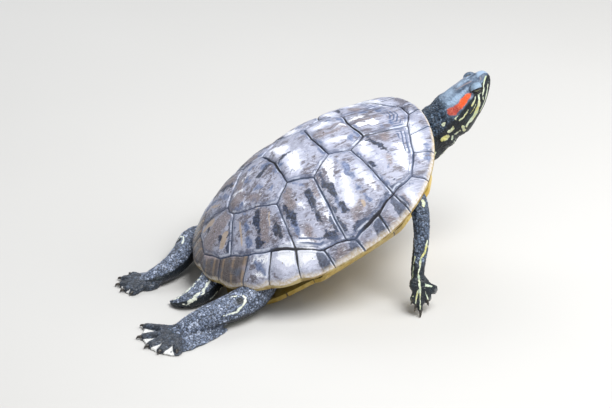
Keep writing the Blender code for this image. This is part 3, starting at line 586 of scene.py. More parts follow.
def mark(item):
    """Notes every kind of stroke on a plate."""
    flat = to_shell(positions(item))[:, :2] * 100
    left = flat[:, 1:] > 0
    bend = np.stack([0.45 * ripple(flat, 0.28, 3.0 + k) + 0.32 * ripple(flat, 0.75, 8.0 + k)
                     for k in (0, 40)], -1)
    x, y = (flat + bend * (1 + left) + left * np.array((0.8, 0.0))).T
    note(item, **{kind: strokes(x, np.abs(y), marks) for kind, marks in MARKS.items()})


# %% The horn's material
def horn(name, wet):
    """Dry, bloomed horn; or the wet, dark horn low at the back."""
    look = Finish(name)
    seam_mm, rim_mm = look["seam"], look["rim"]
    broad, middle, fine = look.noise(38.0, 4.0), look.noise(130.0, 4.0), look.noise(620.0)
    lines = look.node("TexNoise", {"noise_dimensions": "2D"}, Scale=1.0, Detail=3.0, Roughness=0.6,
                      Vector=look.node("CombineXYZ", {}, look["growth"] * 46.0, broad * 3.0, 0.0))
    lengthwise = (0.0, math.radians(22), 0.0)
    streaks = look.noise(260.0, 4.0, 0.62, look.place((0.24, 1.5, 1.3), lengthwise), 0.6)
    scratches = look.noise(620.0, 3.0, 0.6, look.place((0.14, 1.8, 1.5), lengthwise), 0.3)
    ragged = middle * 1.7 + streaks * 1.0 + fine * 0.3
    if wet:
        colour, rough = wet_colour(look, lines, broad, middle, seam_mm), 0.20 + fine * 0.18
    else:
        colour = dry_colour(look, lines, broad, middle, fine, streaks, scratches, ragged, seam_mm)
        rough = 0.28 + middle * 0.26
    edge = 1.0 - (rim_mm + middle * 1.6).ramp(0.9, 1.9 if wet else 2.4)
    gap = (seam_mm - look.noise(26.0, 2.0).ramp(0.48, 0.66) * 0.6 + fine * 0.5 - 0.05).ramp(0.22, 0.62)
    gap_colour = look.mix((0.050, 0.075, 0.140), (0.014, 0.013, 0.018),
                          look.noise(22.0, 1.0).ramp(0.44, 0.54))
    colour = look.layers(
        colour, (look.mix((0.62, 0.50, 0.33), (0.74, 0.70, 0.66), fine.ramp(0.4, 0.6)), edge * 0.8),
        (gap_colour, (1.0 - gap) * 0.95),
        (look.mix((0.46, 0.37, 0.17), (0.27, 0.18, 0.05), middle.ramp(0.4, 0.6)),
         look["under"].ramp(0.15, 0.4)))
    height = lines * 0.45 + streaks * 0.6 + scratches * 0.35 + fine * 0.2
    return look.finished(colour, rough, height, 0.6 * MM, coat=0.35 if wet else None)


def wet_colour(look, lines, broad, middle, seam_mm):
    """Near-black with brown bars, faint blue bands and a grey bloom by the seams."""
    return look.layers(
        (0.045, 0.038, 0.040), ((0.165, 0.140, 0.138), lines.ramp(0.35, 0.65)),
        ((0.26, 0.19, 0.135), (look["bars"] + middle * 0.6 - 0.3).ramp(0.35, 0.75) * lines.ramp(0.25, 0.5)),
        ((0.10, 0.125, 0.18), (middle.ramp(0.50, 0.66) * lines.ramp(0.3, 0.6)) * 0.85),
        ((0.34, 0.29, 0.32), broad.ramp(0.52, 0.60) * (1.0 - seam_mm.ramp(2.0, 6.0)) * 0.7))


def dry_colour(look, lines, broad, middle, fine, streaks, scratches, ragged, seam_mm):
    """Grey-lilac, then bloom and wear, then every kind of stroke, then the furrows by the seams and a painted
    highlight beside them.
    """
    pale = (look["pale"] + broad * 6.0 - 3.0).ramp(-2.0, 3.0)
    worn = streaks * 0.50 + middle * 0.35 + broad * 0.25 + fine * 0.10 + pale * 0.05
    bloom = look["bleached"] * 0.12 + middle * 0.8 + broad * 0.9 + streaks * 0.8 + pale * 0.16
    rings = look.node("Math", {"operation": "SINE"}, seam_mm * 2.6 + middle * 3.0)
    # Painted highlight: a pale line just beside each seam.
    lip = seam_mm.ramp(0.45, 0.75) * (1.0 - seam_mm.ramp(1.0, 1.7)) * middle.ramp(0.46, 0.56)
    return look.layers(
        (0.140, 0.130, 0.158), ((0.38, 0.395, 0.50), worn.ramp(0.525, 0.625)),
        ((0.62, 0.64, 0.77), bloom.ramp(1.16, 1.46) * 0.88),
        (look.mix((0.105, 0.082, 0.082), (0.31, 0.26, 0.27), scratches.ramp(0.42, 0.58)),
         (look["brown"] * 0.30 + ragged).ramp(1.25, 1.75) * 0.85),
        # Near-white bleached patches: partly wear, partly painted reflection.
        ((0.90, 0.91, 0.96), (look["bleached"] * 0.34 + ragged * 1.15).ramp(1.82, 2.12)),
        ((0.075, 0.062, 0.072),
         scratches.ramp(0.575, 0.64) * broad.ramp(0.58, 0.42) * (1.0 - pale * 0.7) * 0.85),
        ((0.72, 0.74, 0.84), scratches.ramp(0.42, 0.35) * 0.6),
        ((0.13, 0.17, 0.29), (middle * 0.7 + fine * 0.3).ramp(0.60, 0.66) * 0.75),
        ((0.46, 0.36, 0.27), (look["tan"] + middle * 0.5).ramp(0.10, 0.45) * 0.85),
        (look.mix((0.060, 0.095, 0.190), (0.19, 0.24, 0.40), fine.ramp(0.40, 0.62)),
         (look["slate"] * 0.38 + ragged * 1.5).ramp(2.12, 2.58) * 0.9),
        (look.mix((0.008, 0.010, 0.020), (0.045, 0.065, 0.130), fine.ramp(0.42, 0.66)),
         (look["navy"] * 0.42 + ragged * 1.65).ramp(2.26, 2.58) * 0.95),
        (look.mix((0.030, 0.038, 0.065), (0.095, 0.115, 0.180), fine.ramp(0.40, 0.64)),
         (look["blotch"] * 0.60 + ragged).ramp(1.24, 1.50) * 0.92),
        ((0.070, 0.105, 0.195), rings.ramp(-0.05, 0.50) * look["ringed"].ramp(-0.6, 0.2) * 0.9),
        ((0.10, 0.13, 0.22), (1.0 - seam_mm.ramp(1.0, 4.6)) * lines.ramp(0.48, 0.55) * 0.7),
        # The painted highlight beside the seams.
        ((0.64, 0.68, 0.80), lip * 0.75))


DRY_HORN, WET_HORN = horn("dry_horn", False), horn("wet_horn", True)


# %% Nuchal and vertebrals
def carapace_plate(name, loop, heart, **options):
    """A dry plate in the place of the node of its name."""
    made = plate(name + "_horn", wandering(counter_clockwise(loop)), heart, **options)
    mark(made)
    dressed(made, DRY_HORN, [name])


# The junctions of the left side, the seams in front and behind on the midline, and the heart.
VERTEBRALS = ((1, (NUCHAL_IN, V1_FRONT, V12), None, KEEL_SEAMS[0], 0.285),
              (2, (V12, V2_SIDE, V23), KEEL_SEAMS[0], KEEL_SEAMS[1], 0.135),
              (3, (V23, V3_SIDE, V34), KEEL_SEAMS[1], KEEL_SEAMS[2], -0.025),
              (4, (V34, V4_SIDE, V45), KEEL_SEAMS[2], KEEL_SEAMS[3], -0.175),
              (5, (V45, V5_REAR, MARGINAL_IN[11]), KEEL_SEAMS[3], MARGINAL_IN[12][0], -0.385))
for number, side, front, rear, heart in VERTEBRALS:
    corners = [*side, (rear, 0.0), *((x, -y) for x, y in side[::-1])]
    corners += [(front, 0.0)] if front is not None else []
    carapace_plate(f"vertebral_{number}", path_along(corners + corners[:1]), (heart, 0.0),
                   seed=11.0 + heart * 50)
outer, inner = rim_point(0), NUCHAL_IN
front_edge = seam((outer[0], -outer[1]), outer)
carapace_plate("nuchal", front_edge + path_along([outer, inner, (inner[0], -inner[1]), front_edge[0]]),
               (0.470, 0.0), rim_edges=len(front_edge), relief=0.5, rings=5)
print("vertebrals:", len(VERTEBRALS))

# %% Pleurals
M = MARGINAL_IN
PLEURALS = (((M[4], V2_SIDE, V12, V1_FRONT, M[1], M[2], M[3]), (0.245, 0.185)),
            ((M[4], M[5], M[6], P23_LOW, V3_SIDE, V23, V2_SIDE), (0.070, 0.190)),
            ((P23_LOW, M[7], M[8], V4_SIDE, V34, V3_SIDE), (-0.100, 0.190)),
            ((M[8], M[9], M[10], V5_REAR, V45, V4_SIDE), (-0.275, 0.150)))
SIDES = ((1, "left"), (-1, "right"))
for number, (corners, heart) in enumerate(PLEURALS, 1):
    loop = path_along(corners + corners[:1])
    for side, suffix in SIDES:
        turned = loop if side > 0 else [(x, -y) for x, y in reversed(loop)]
        carapace_plate(f"pleural_{number}_{suffix}", turned, (heart[0], side * heart[1]), rings=11,
                       seed=number * 3.1 + side)
print("pleurals:", len(PLEURALS), "a side")

# %% Marginals
WET_FROM, BAR_STEP = 11, 5.2
for index in range(1, len(MARGINAL_IN)):
    front, rear, rim = MARGINAL_IN[index - 1], MARGINAL_IN[index], rim_curve(index)
    inland = [rear, *INNER_CORNERS.get(index, []), front]
    loop = rim + path_along([rim_point(index), *inland, rim_point(index - 1)])
    heart = [0.45 * (front[k] + rear[k]) / 2 + 0.55 * (rim[0][k] + rim_point(index)[k]) / 2 for k in (0, 1)]
    for side, suffix in SIDES:
        turned = [(x, side * y) for x, y in loop]
        if (area_of(loop) > 0) != (side > 0):
            turned = turned[:len(rim) + 1][::-1] + turned[len(rim) + 1:][::-1]
        name, wet = f"marginal_{index}_{suffix}", index >= WET_FROM
        made = plate(name + "_horn", wandering(turned), (heart[0], side * heart[1]), rim_edges=len(rim),
                     relief=0.6, rings=5, swell=0.004, seed=index * 2.3 + side)
        mark(made)
        if wet:
            x, y = (to_shell(positions(made)) * 100)[:, :2].T
            note(made, bars=np.cos((np.abs(y) + 0.55 * (x + 45) - 13.4) * 2 * math.pi / BAR_STEP) - 0.2)
        dressed(made, WET_HORN if wet else DRY_HORN, [name])
print("marginals:", index, "a side; the last is", len(made.data.vertices), "points")

# %% [markdown]
# ## The plastron
# The belly plate is a shallow keel that rises at the bridges to meet the rim. Its horn is
# yellow, in six pairs of scutes that meet along the middle, each with a dark smudge.

# %% Plastron
BELLY_OUTLINE = ((0.440, 0.0), (0.432, 0.072), (0.378, 0.136), (0.285, 0.172), (0.222, 0.220),
                 (0.180, 0.262), (0.138, 0.316), (0.080, 0.330), (-0.060, 0.327), (-0.140, 0.303),
                 (-0.168, 0.228), (-0.270, 0.205), (-0.380, 0.180), (-0.462, 0.110), (-0.435, 0.0))
BELLY_SEAMS = (0.385, 0.275, 0.165, -0.020, -0.185, -0.320)
SEAM_SLANTS = (1.4, 1.0, 0.2, -0.1, -0.3, -1.2)
SMUDGE_OUT = (0.03, 0.06, 0.08, 0.11, 0.12, 0.08, 0.06)
INSIDE_RINGS, BELLY_RINGS = [0.2, 0.5, 0.8, 0.95, 1.0], [1.0, 0.99, 0.97] + [i / 36 for i in range(34, 0, -1)]
half = path_along(BELLY_OUTLINE)
belly_loop = np.array(counter_clockwise(half + [BELLY_OUTLINE[-1]] + [(x, -y) for x, y in half[:0:-1]]))
for _ in range(6):
    belly_loop = (np.roll(belly_loop, 1, 0) + 2 * belly_loop + np.roll(belly_loop, -1, 0)) / 4
count, tops = len(belly_loop), len(INSIDE_RINGS)
belly, ring, angle = globe("plastron_horn", count, tops + len(BELLY_RINGS))
share = np.array([0.0, *INSIDE_RINGS, *BELLY_RINGS, 0.0])[ring]
flat = belly_loop[steps_round(angle, count)] * share[:, None]
x, y = flat.T
bottom = belly_bottom(x, y)
inside = np.minimum(bottom + BELLY_THICKNESS, rim_height(x) - RIM_THICKNESS - BELLY_GAP)
waver = ripple(flat, 12.0, 77.0)
cross = np.abs(x[:, None] + 0.16 * np.abs(y[:, None]) * np.array(SEAM_SLANTS) - np.array(BELLY_SEAMS))
to_seam = in_mm(np.minimum(np.abs(y + 0.003 * waver), cross.min(1) + 0.002 * waver))
relief = 0.35 * (1 - smooth(to_seam, 0.0, 1.1)) - 0.12 * np.abs(np.sin(to_seam * 1.1 + waver)) + 0.15 * waver
z = np.where(ring <= tops, inside, bottom + relief * MM / SHELL_LENGTH)
z += np.where(ring <= tops, -1, 1) * 0.0015 * smooth(share, 0.97, 1.0)
placed = from_shell(x, y, z)
placed[:, 2] = np.maximum(placed[:, 2], 0.0)
move_points(belly, placed)
smudges = [(100 * (a + b) / 2 + 1.5, 100 * wide, 100 * (a + b) / 2 - 2.0, 100 * wide + 2, 3.2, 2.0)
           for a, b, wide in zip((0.44, *BELLY_SEAMS), (*BELLY_SEAMS, -0.43), SMUDGE_OUT)]
note(belly, seam=to_seam,
     smudge=strokes(100 * x + 3 * waver, 100 * np.abs(y) + 2 * ripple(flat, 30.0, 5.0), smudges))

# %% The belly's material
look = Finish("belly_horn")
broad, middle, fine = look.noise(40.0), look.noise(160.0, 4.0), look.noise(700.0)
colour = look.layers(
    (0.50, 0.33, 0.055), ((0.66, 0.50, 0.17), (broad * 0.6 + middle * 0.4).ramp(0.40, 0.60)),
    ((0.30, 0.17, 0.04), middle.ramp(0.56, 0.72) * 0.7),
    ((0.045, 0.032, 0.022), (look["smudge"] * 0.4 + middle).ramp(0.55, 0.85) * 0.85),
    ((0.09, 0.05, 0.02), 1.0 - (look["seam"] + fine * 0.4).ramp(0.35, 0.9)))
dressed(belly, look.finished(colour, 0.34 + middle * 0.2, middle * 0.6 + fine * 0.3),
        ["plastron"])

# %% [markdown]
# ## The flesh, as one skin
# Neck, head, limbs and tail are tubes through a few stations. They overlap, are joined, and a
# voxel remesh melts them into one closed skin, as flesh is: no seam where a leg leaves the body.
# Sculpting then comes as rules on the melted points: lids, beak, folds and scales.

# %% Stations of the tubes
HEAD_PITCH, HEAD_YAW = math.radians(41), math.radians(-15)
SNOUT = np.array(Vector((194.2, -11.0, 136.8)))
HEAD_FORWARD = Vector((math.cos(HEAD_YAW) * math.cos(HEAD_PITCH), math.sin(HEAD_YAW) * math.cos(HEAD_PITCH),
                       math.sin(HEAD_PITCH)))
HEAD_LEFT = Vector((-math.sin(HEAD_YAW), math.cos(HEAD_YAW), 0.0))
HEAD_UP = np.array(HEAD_FORWARD.cross(HEAD_LEFT))
HEAD_FORWARD, HEAD_LEFT = np.array(HEAD_FORWARD), np.array(HEAD_LEFT)
# Back from the snout, rise of the middle, half height above and below, half width, in millimetres.
HEAD_STATIONS = ((0, 0.3, 2.6, 3.2, 2.6), (1.2, 0.2, 4.4, 5.2, 4.2), (4, -0.3, 6.1, 7.6, 6),
                 (8, -0.9, 7.3, 10.2, 8.2), (12, -1.4, 8.9, 12.3, 10.6), (17, -2.6, 11.2, 13.9, 12.8),
                 (23, -4, 12.8, 14.9, 14), (29, -5.2, 14.8, 16.1, 14.8), (36, -6.1, 16.2, 17.2, 15.6),
                 (44, -6.6, 16.6, 16.8, 16.2))
# Each station of a limb: its centre, half its width and half its thickness, in millimetres.
NECK = (((118, 1, 64), 9, 9), ((138, 1, 79), 16, 16), ((153.8, 0, 91), 17.4, 17.2),
        ((162.6, -2, 99.3), 16.6, 16.8), ((171.6, -4.95, 108.4), 15.7, 16.9), ((177, -6.5, 114), 14, 14))
TAIL = (((2, 3, 20), 5, 5), ((-19, -1.5, 15), 9.4, 9), ((-30, -9, 10.4), 9, 8.6),
        ((-40, -14.5, 7.6), 8.4, 7.6), ((-49, -16, 5.7), 7, 5.8), ((-56, -13, 3.6), 4.4, 3.7),
        ((-59.5, -8, 1.8), 1.9, 1.8))
FORELEG = (((111, -38, 74), 8, 8), ((113.5, -57, 72), 7.8, 7), ((112.3, -67.5, 60), 6.4, 6.2),
           ((108.6, -75, 46), 5.7, 5.6), ((104.4, -80, 33), 5.3, 5), ((101.8, -84.5, 23), 5.8, 4.4),
           ((101.2, -88, 16), 5.6, 3.4))
HINDLEG = (((14, -28, 24), 9, 9), ((-6, -41, 16.5), 12.4, 10.5), ((-18, -47, 13.5), 11.6, 10.6),
           ((-34, -50, 11.5), 10.6, 9.6), ((-50, -51.5, 9.5), 9.6, 8.4), ((-64, -52, 6.6), 8.6, 5.8),
           ((-70, -52, 5), 7, 4.4))
FAR_HINDLEG = (((10, 34, 24), 8, 8), ((-9, 48, 16.5), 11, 9), ((-20, 48, 15), 10.4, 9.2),
               ((-33, 36, 12), 9.2, 8.4), ((-48, 26, 9), 8.4, 7.4), ((-60, 25, 6), 8, 5.4),
               ((-66, 26, 4.4), 6, 4))


# %% Tubes through stations
def spline(rows, steps):
    """Rows of numbers, spaced more finely along a smooth curve through them."""
    rows, dense = np.array(rows, float), []
    for i in range(len(rows) - 1):
        a, b, c, d = rows[max(0, i - 1)], rows[i], rows[i + 1], rows[min(len(rows) - 1, i + 2)]
        for t in np.arange(steps) / steps:
            dense.append((2 * b + (c - a) * t + (2 * a - 5 * b + 4 * c - d) * t ** 2
                          + (3 * b - a - 3 * c + d) * t ** 3) / 2)
    return np.array(dense + [rows[-1]])


def unit(vectors_in):
    return vectors_in / np.linalg.norm(vectors_in, axis=-1, keepdims=True)


class Limb:
    """A tube of flesh: its centre line, its half widths, and which way is its front."""

    def __init__(self, name, stations, front=(0, 0, 1)):
        self.name = name
        dense = spline([(*centre, wide, tall) for centre, wide, tall in stations], 8)
        self.centres, self.wide, self.tall = dense[:, :3], dense[:, 3], dense[:, 4]
        self.along = unit(np.gradient(self.centres, axis=0))
        self.side = unit(np.cross(self.along, np.array(front, float)))
        self.rise = np.cross(self.side, self.along)
        steps = np.linalg.norm(np.diff(self.centres, axis=0), axis=1)
        self.length = np.concatenate([[0.0], np.cumsum(steps)])

    def tube(self):
        rows = len(self.centres)
        item, ring, angle = globe(self.name + "_tube", 32, rows)
        row = np.clip(ring - 1, 0, rows - 1)
        on_tube = ((ring > 0) & (ring <= rows))[:, None]
        offset = self.side[row] * (self.wide[row] * np.cos(angle))[:, None] \
            + self.rise[row] * (self.tall[row] * np.sin(angle))[:, None]
        tip = self.along[row] * (0.5 * self.tall[row] * (ring > rows))[:, None]
        move_points(item, (self.centres[row] + offset * on_tube + tip) * MM)
        return item

    def measure(self, points):
        """Share of the radius, length along, angle round from the front, and radius, at each point."""
        nearest = np.empty(len(points), int)
        for start in range(0, len(points), 20000):
            part = points[start:start + 20000]
            nearest[start:start + 20000] = ((part[:, None] - self.centres) ** 2).sum(2).argmin(1)
        off = points - self.centres[nearest]
        across, up, forward = ((off * way[nearest]).sum(1) for way in (self.side, self.rise, self.along))
        share = np.sqrt((across / self.wide[nearest]) ** 2 + (up / self.tall[nearest]) ** 2)
        share += np.where((nearest == 0) | (nearest == len(self.centres) - 1), np.abs(forward) / 8.0, 0.0)
        return share, self.length[nearest] + forward, np.arctan2(across, up), \
            (self.wide[nearest] + self.tall[nearest]) / 2


FAR_FORELEG = [((x + 7.0, -y, z), wide, tall) for (x, y, z), wide, tall in FORELEG]
LIMBS = [Limb("neck", NECK, (-0.6, 0.0, 0.8)), Limb("tail", TAIL),
         Limb("leg_fore_right", FORELEG, (1, 0, 0)), Limb("leg_fore_left", FAR_FORELEG, (1, 0, 0)),
         Limb("leg_hind_right", HINDLEG), Limb("leg_hind_left", FAR_HINDLEG)]
flesh = [limb.tube() for limb in LIMBS]
print("limbs:", {limb.name: round(float(limb.length[-1])) for limb in LIMBS}, "mm long")


# %% Head, roughed out
def from_head(back, out, up):
    """Points given in the head's own frame, in millimetres: back from the snout, to the left, up."""
    return SNOUT - np.outer(back, HEAD_FORWARD) + np.outer(out, HEAD_LEFT) + np.outer(up, HEAD_UP)


def head_places(points):
    """Back, out to the left and up in the head's frame, in millimetres."""
    off = points / MM - SNOUT
    return -off @ HEAD_FORWARD, off @ HEAD_LEFT, off @ HEAD_UP


ROUNDNESS = 0.92
head_rows = spline(HEAD_STATIONS, 6)
rough_head, ring, angle = globe("rough_head", 48, len(head_rows))
back, rise, above, below, wide = head_rows[np.clip(ring - 1, 0, len(head_rows) - 1)].T
back = np.where(ring == 0, -0.8, back)
pole = (ring > 0) & (ring <= len(head_rows))
cosine, sine = np.cos(angle), np.sin(angle)
out = np.sign(cosine) * np.abs(cosine) ** ROUNDNESS * wide * pole
power = np.where(sine > 0, ROUNDNESS, 1.0)
tall = np.where(sine > 0, above, below) * np.sign(sine) * np.abs(sine) ** power * pole
move_points(rough_head, from_head(back, -out, rise + tall) * MM)
flesh.append(rough_head)
print("rough head:", len(rough_head.data.vertices), "points")

# %% Trunk, roughed out
TRUNK_RINGS = [0.1, 0.25, 0.4, 0.55, 0.68, 0.78, 0.86, 0.92, 0.96, 0.985, 1.0]
TRUNK_REACH, TRUNK_GAP = 0.86, 0.004
POCKETS, POCKET_SIZE, POCKET_DEPTH = ((0.36, 0.26), (-0.33, 0.24)), 0.12, 0.05
count = len(TRUNK_RINGS)
rough_trunk, ring, angle = globe("rough_trunk", 72, 2 * count)
share = np.array([0.0, *TRUNK_RINGS, *TRUNK_RINGS[::-1], 0.0])[ring]
edge = TRUNK_REACH / reach(WIDEST_X + np.cos(angle), np.sin(angle))
x, y = WIDEST_X + np.cos(angle) * edge * share, np.sin(angle) * edge * share
pocket = sum(np.exp(-((x - px) ** 2 + (np.abs(y) - py) ** 2) / POCKET_SIZE ** 2) for px, py in POCKETS)
ceiling = carapace_under(x, y) - TRUNK_GAP
ground = belly_bottom(x, y) + BELLY_THICKNESS + TRUNK_GAP + POCKET_DEPTH * pocket
closing = np.sqrt(1.0 - share ** 7) * 0.96 + 0.04
z = (ceiling + ground) / 2 + (np.where(ring <= count, ceiling, ground) - (ceiling + ground) / 2) * closing
move_points(rough_trunk, from_shell(x, y, z))
flesh.append(rough_trunk)
print("rough trunk:", len(rough_trunk.data.vertices), "points")

# %% [markdown]
# ## Feet
# A slider's foot is a paddle: five toes that fan out from a flat palm, with webs between them.
# The paddle's edge follows the toes, and each toe is a slim tube laid on the web. A fold of skin
# runs on round the outer side of a hind foot. Claws are horn, so they are made apart.

# %% What each foot is like
FORE_TOES = ((27, 9.0), (81, 13.0), (105, 20.0), (117, 16.0), (130, 12.0))
RIGHT_TOES = ((134, 30.0), (164, 29.5), (191, 28.5), (215, 27.5), (241, 24.0))
LEFT_TOES = ((212, 18.5), (188, 20.5), (164, 21.5), (139, 21.0), (112, 18.0))
RIGHT_FOLD = ((241, 23.0), (288, 20.0), (312, 22.0), (335, 28.0), (352, 36.0))
LEFT_FOLD = ((112, 17.0), (66, 15.0), (25, 11.0))
FOOT_REACH = 33


def forefoot(side, x):
    return dict(palm=(x, 86.2 * side, 18.8), radius=7.2, height=7.0, web=0.72, claw=5.0, lean=(96 * side, 55),
                stout=1.0, toes=[(side * heading, length) for heading, length in FORE_TOES], fold=())


FEET = {"foot_fore_right": forefoot(-1, 101.5), "foot_fore_left": forefoot(1, 108.5),
        "foot_hind_right": dict(palm=(-69.0, -52.0, 0.0), radius=11.5, height=8.0, web=0.93, claw=3.6,
                                lean=(0, 0), stout=1.45, toes=RIGHT_TOES, fold=RIGHT_FOLD),
        "foot_hind_left": dict(palm=(-65.0, 26.0, 0.0), radius=10.5, height=7.5, web=0.93, claw=3.4,
                               lean=(0, 0), stout=1.45, toes=LEFT_TOES, fold=LEFT_FOLD)}


def leaning(foot):
    """The turn that leans a foot, made flat, towards its heading."""
    towards, lean = (math.radians(angle) for angle in foot["lean"])
    return np.array(Matrix.Rotation(lean, 3, (-math.sin(towards), math.cos(towards), 0.0)))


def stance(foot, points):
    """Moves points of a foot made flat round the origin to where it stands."""
    return points @ leaning(foot).T + np.array(foot["palm"])


def flat_again(foot, points):
    """The same back again, as distance from the palm, heading in degrees and height."""
    x, y, z = ((points - np.array(foot["palm"])) @ leaning(foot)).T
    return np.hypot(x, y), np.degrees(np.arctan2(y, x)), z


# %% The paddle
def foot_edge(heading, foot):
    """How far the paddle reaches in a direction: out to the toes, scalloped between them."""
    turns = turn_from(np.array([toe for toe, _ in foot["toes"]]), heading[:, None])
    away = np.abs(turns)
    weight = np.exp(-(away / 7.0) ** 2)
    lengths = np.array([length for _, length in foot["toes"]])
    toe = (weight * lengths).sum(1) / np.maximum(weight.sum(1), 1e-9)
    outside = (away.min(1) > 40) | (turns.min(1) > 0) | (turns.max(1) < 0)
    between = 1 - smooth(np.where(outside, away.min(1), np.maximum(0.0, away.min(1) - 12)), 3.0, 23.0)
    web = foot["radius"] + (foot["web"] * lengths.max() - foot["radius"]) * between
    for (start, near_reach), (end, far_reach) in zip(foot["fold"], foot["fold"][1:]):
        share = turn_from(start, heading) / (end - start)
        folded = np.maximum(web, near_reach + (far_reach - near_reach) * share)
        web = np.where((share >= 0) & (share <= 1), folded, web)
    return np.maximum(web, web + (toe - 1.5 - web) * weight.max(1))


def rough_foot(foot):
    rings = [0.15, 0.3, 0.45, 0.6, 0.75, 0.88, 0.96, 1.0]
    item, ring, angle = globe("rough_foot", 144, 2 * len(rings))
    heading = np.degrees(angle)
    share = np.array([0.0, *rings, *rings[::-1], 0.0])[ring]
    out = foot_edge(heading, foot) * share
    top = 1.7 + (foot["height"] - 1.7) * np.maximum(0.0, 1 - (out / 16.0) ** 1.5) - 0.5 * (share > 0.97)
    for first, ((start, _), (end, _)) in enumerate(zip(foot["fold"], foot["fold"][1:])):
        turn = turn_from(start, heading) / (end - start)
        swelling = smooth(turn + (first > 0), 0, 0.6)
        folded = np.maximum(top, 1.3 + (foot["height"] + 1.0) * (1 - share) * swelling)
        top = np.where((turn > 0) & (turn <= 1), folded, top)
    z = np.where(ring <= len(rings), top, 0.05 + 0.4 * (share > 0.97))
    flat = np.stack([np.cos(np.radians(heading)), np.sin(np.radians(heading))], -1) * out[:, None]
    move_points(item, stance(foot, np.column_stack([flat, z])) * MM)
    return item


# %% Toes and claws
# Before or beyond the toe's end, height, half width and half thickness.
CLAW = ((3.0, 0, 2.0, 0.9, 1.0), (1.0, 0, 2.2, 1.15, 1.2), (0, 0.30, 2.1, 0.85, 0.95),
        (0, 0.55, 1.5, 0.5, 0.6), (0, 0.70, 0.7, 0.2, 0.25))
UPWARD = np.array((0.0, 0.0, 1.0))
toe_lines, claw_sets = [], {}
for name, foot in FEET.items():
    flesh.append(rough_foot(foot))
    claw_sets[name] = []
    for heading, length in foot["toes"]:
        ray = np.array((math.cos(math.radians(heading)), math.sin(math.radians(heading)), 0.0))
        stations = ((0.25, foot["height"] * 0.45, 2.5, 2.3), (0.55, 2.7, 2.5, 1.9), (0.80, 2.2, 2.3, 1.7),
                    (1 - 1.2 / length, 1.9, 2.0, 1.5))
        toe = Limb(name, [(stance(foot, ray * length * along + UPWARD * high), foot["stout"] * wide,
                           foot["stout"] * tall) for along, high, wide, tall in stations])
        toe_lines.append(toe)
        flesh.append(toe.tube())
        claw = [(stance(foot, ray * (length + foot["claw"] * beyond - before) + UPWARD * high), wide, tall)
                for before, beyond, high, wide, tall in CLAW]
        claw_sets[name].append(Limb(name + "_claw", claw).tube())
print("toes:", len(toe_lines))


# %% Melt the flesh into one skin
def joined(items, name):
    select_only(items)
    bpy.ops.object.join()
    items[0].name = items[0].data.name = name
    bpy.ops.object.transform_apply(location=True, rotation=True, scale=True)
    return items[0]


def applied(item, kind, **settings):
    """Adds one modifier, sets it and applies it."""
    select_only([item])
    made = item.modifiers.new(kind.lower(), kind)
    for key, value in settings.items():
        setattr(made, key, value)
    bpy.ops.object.modifier_apply(modifier=made.name)


def on_faces(item, chosen, operation, **settings):
    """Runs one mesh operation on the chosen faces."""
    for parts in (item.data.vertices, item.data.edges):
        parts.foreach_set("select", np.zeros(len(parts), bool))
    item.data.polygons.foreach_set("select", chosen)
    bpy.context.view_layer.objects.active = item
    bpy.ops.object.mode_set(mode="EDIT")
    bpy.ops.mesh.select_mode(type="FACE")
    operation(**settings)
    bpy.ops.object.mode_set(mode="OBJECT")
    print(item.name + ":", len(item.data.polygons), "faces")


skin = joined(flesh, "skin")
applied(skin, "REMESH", mode="VOXEL", voxel_size=0.85 * MM, adaptivity=0.0)
applied(skin, "SMOOTH", factor=0.5, iterations=4)

# %% Fewer faces where the shell hides them, more on the face
centres = vectors(skin.data.polygons, "center")
limb_share = np.array([limb.measure(centres / MM)[0] for limb in LIMBS]).min(0)
inside = to_shell(centres)
hidden = (limb_share > 1.25) & (reach(inside[:, 0], inside[:, 1]) < 0.86) & (centres[:, 0] < 130 * MM)
on_faces(skin, hidden, bpy.ops.mesh.decimate, ratio=0.06)
back, out, up = head_places(vectors(skin.data.polygons, "center"))
on_faces(skin, (back < 21) & (back > -4) & (np.abs(out) < 16), bpy.ops.mesh.subdivide, number_cuts=1,
         smoothness=0.3)

# %% [markdown]
# ## The head
# A slider's head is smooth above, with heavy lids that close the eye to a slit, a beak with a
# straight mouth line, and small nostrils at the very tip. The eye is a ball deep in the head:
# the lids are the skin wrapped round it, and the slit is where the skin dips behind the ball.

# %% Lids
EYE_BACK, EYE_OUT, EYE_UP, EYE_RADIUS = 12.8, 7.8, 2.0, 4.2
LID_RADIUS, SLIT_LENGTH, SLIT_HEIGHT, SLIT_DROP, SLIT_TURN = 5.2, 3.4, 1.35, 1.55, math.radians(24)
INNER_RADIUS, LID_REACH, NOWHERE = EYE_RADIUS - 0.7, 6.8, -20.0


def eye_frame(side):
    """The middle of an eye, and its outward, lengthwise and upward directions."""
    middle = from_head([EYE_BACK], [side * EYE_OUT], [EYE_UP])[0]
    outward = unit(HEAD_LEFT * side * 0.93 + HEAD_FORWARD * 0.28 + HEAD_UP * 0.16)
    lengthwise = HEAD_FORWARD * math.cos(SLIT_TURN) - HEAD_UP * math.sin(SLIT_TURN)
    lengthwise = unit(lengthwise - outward * (lengthwise @ outward))
    return middle, outward, lengthwise, -side * np.cross(outward, lengthwise)


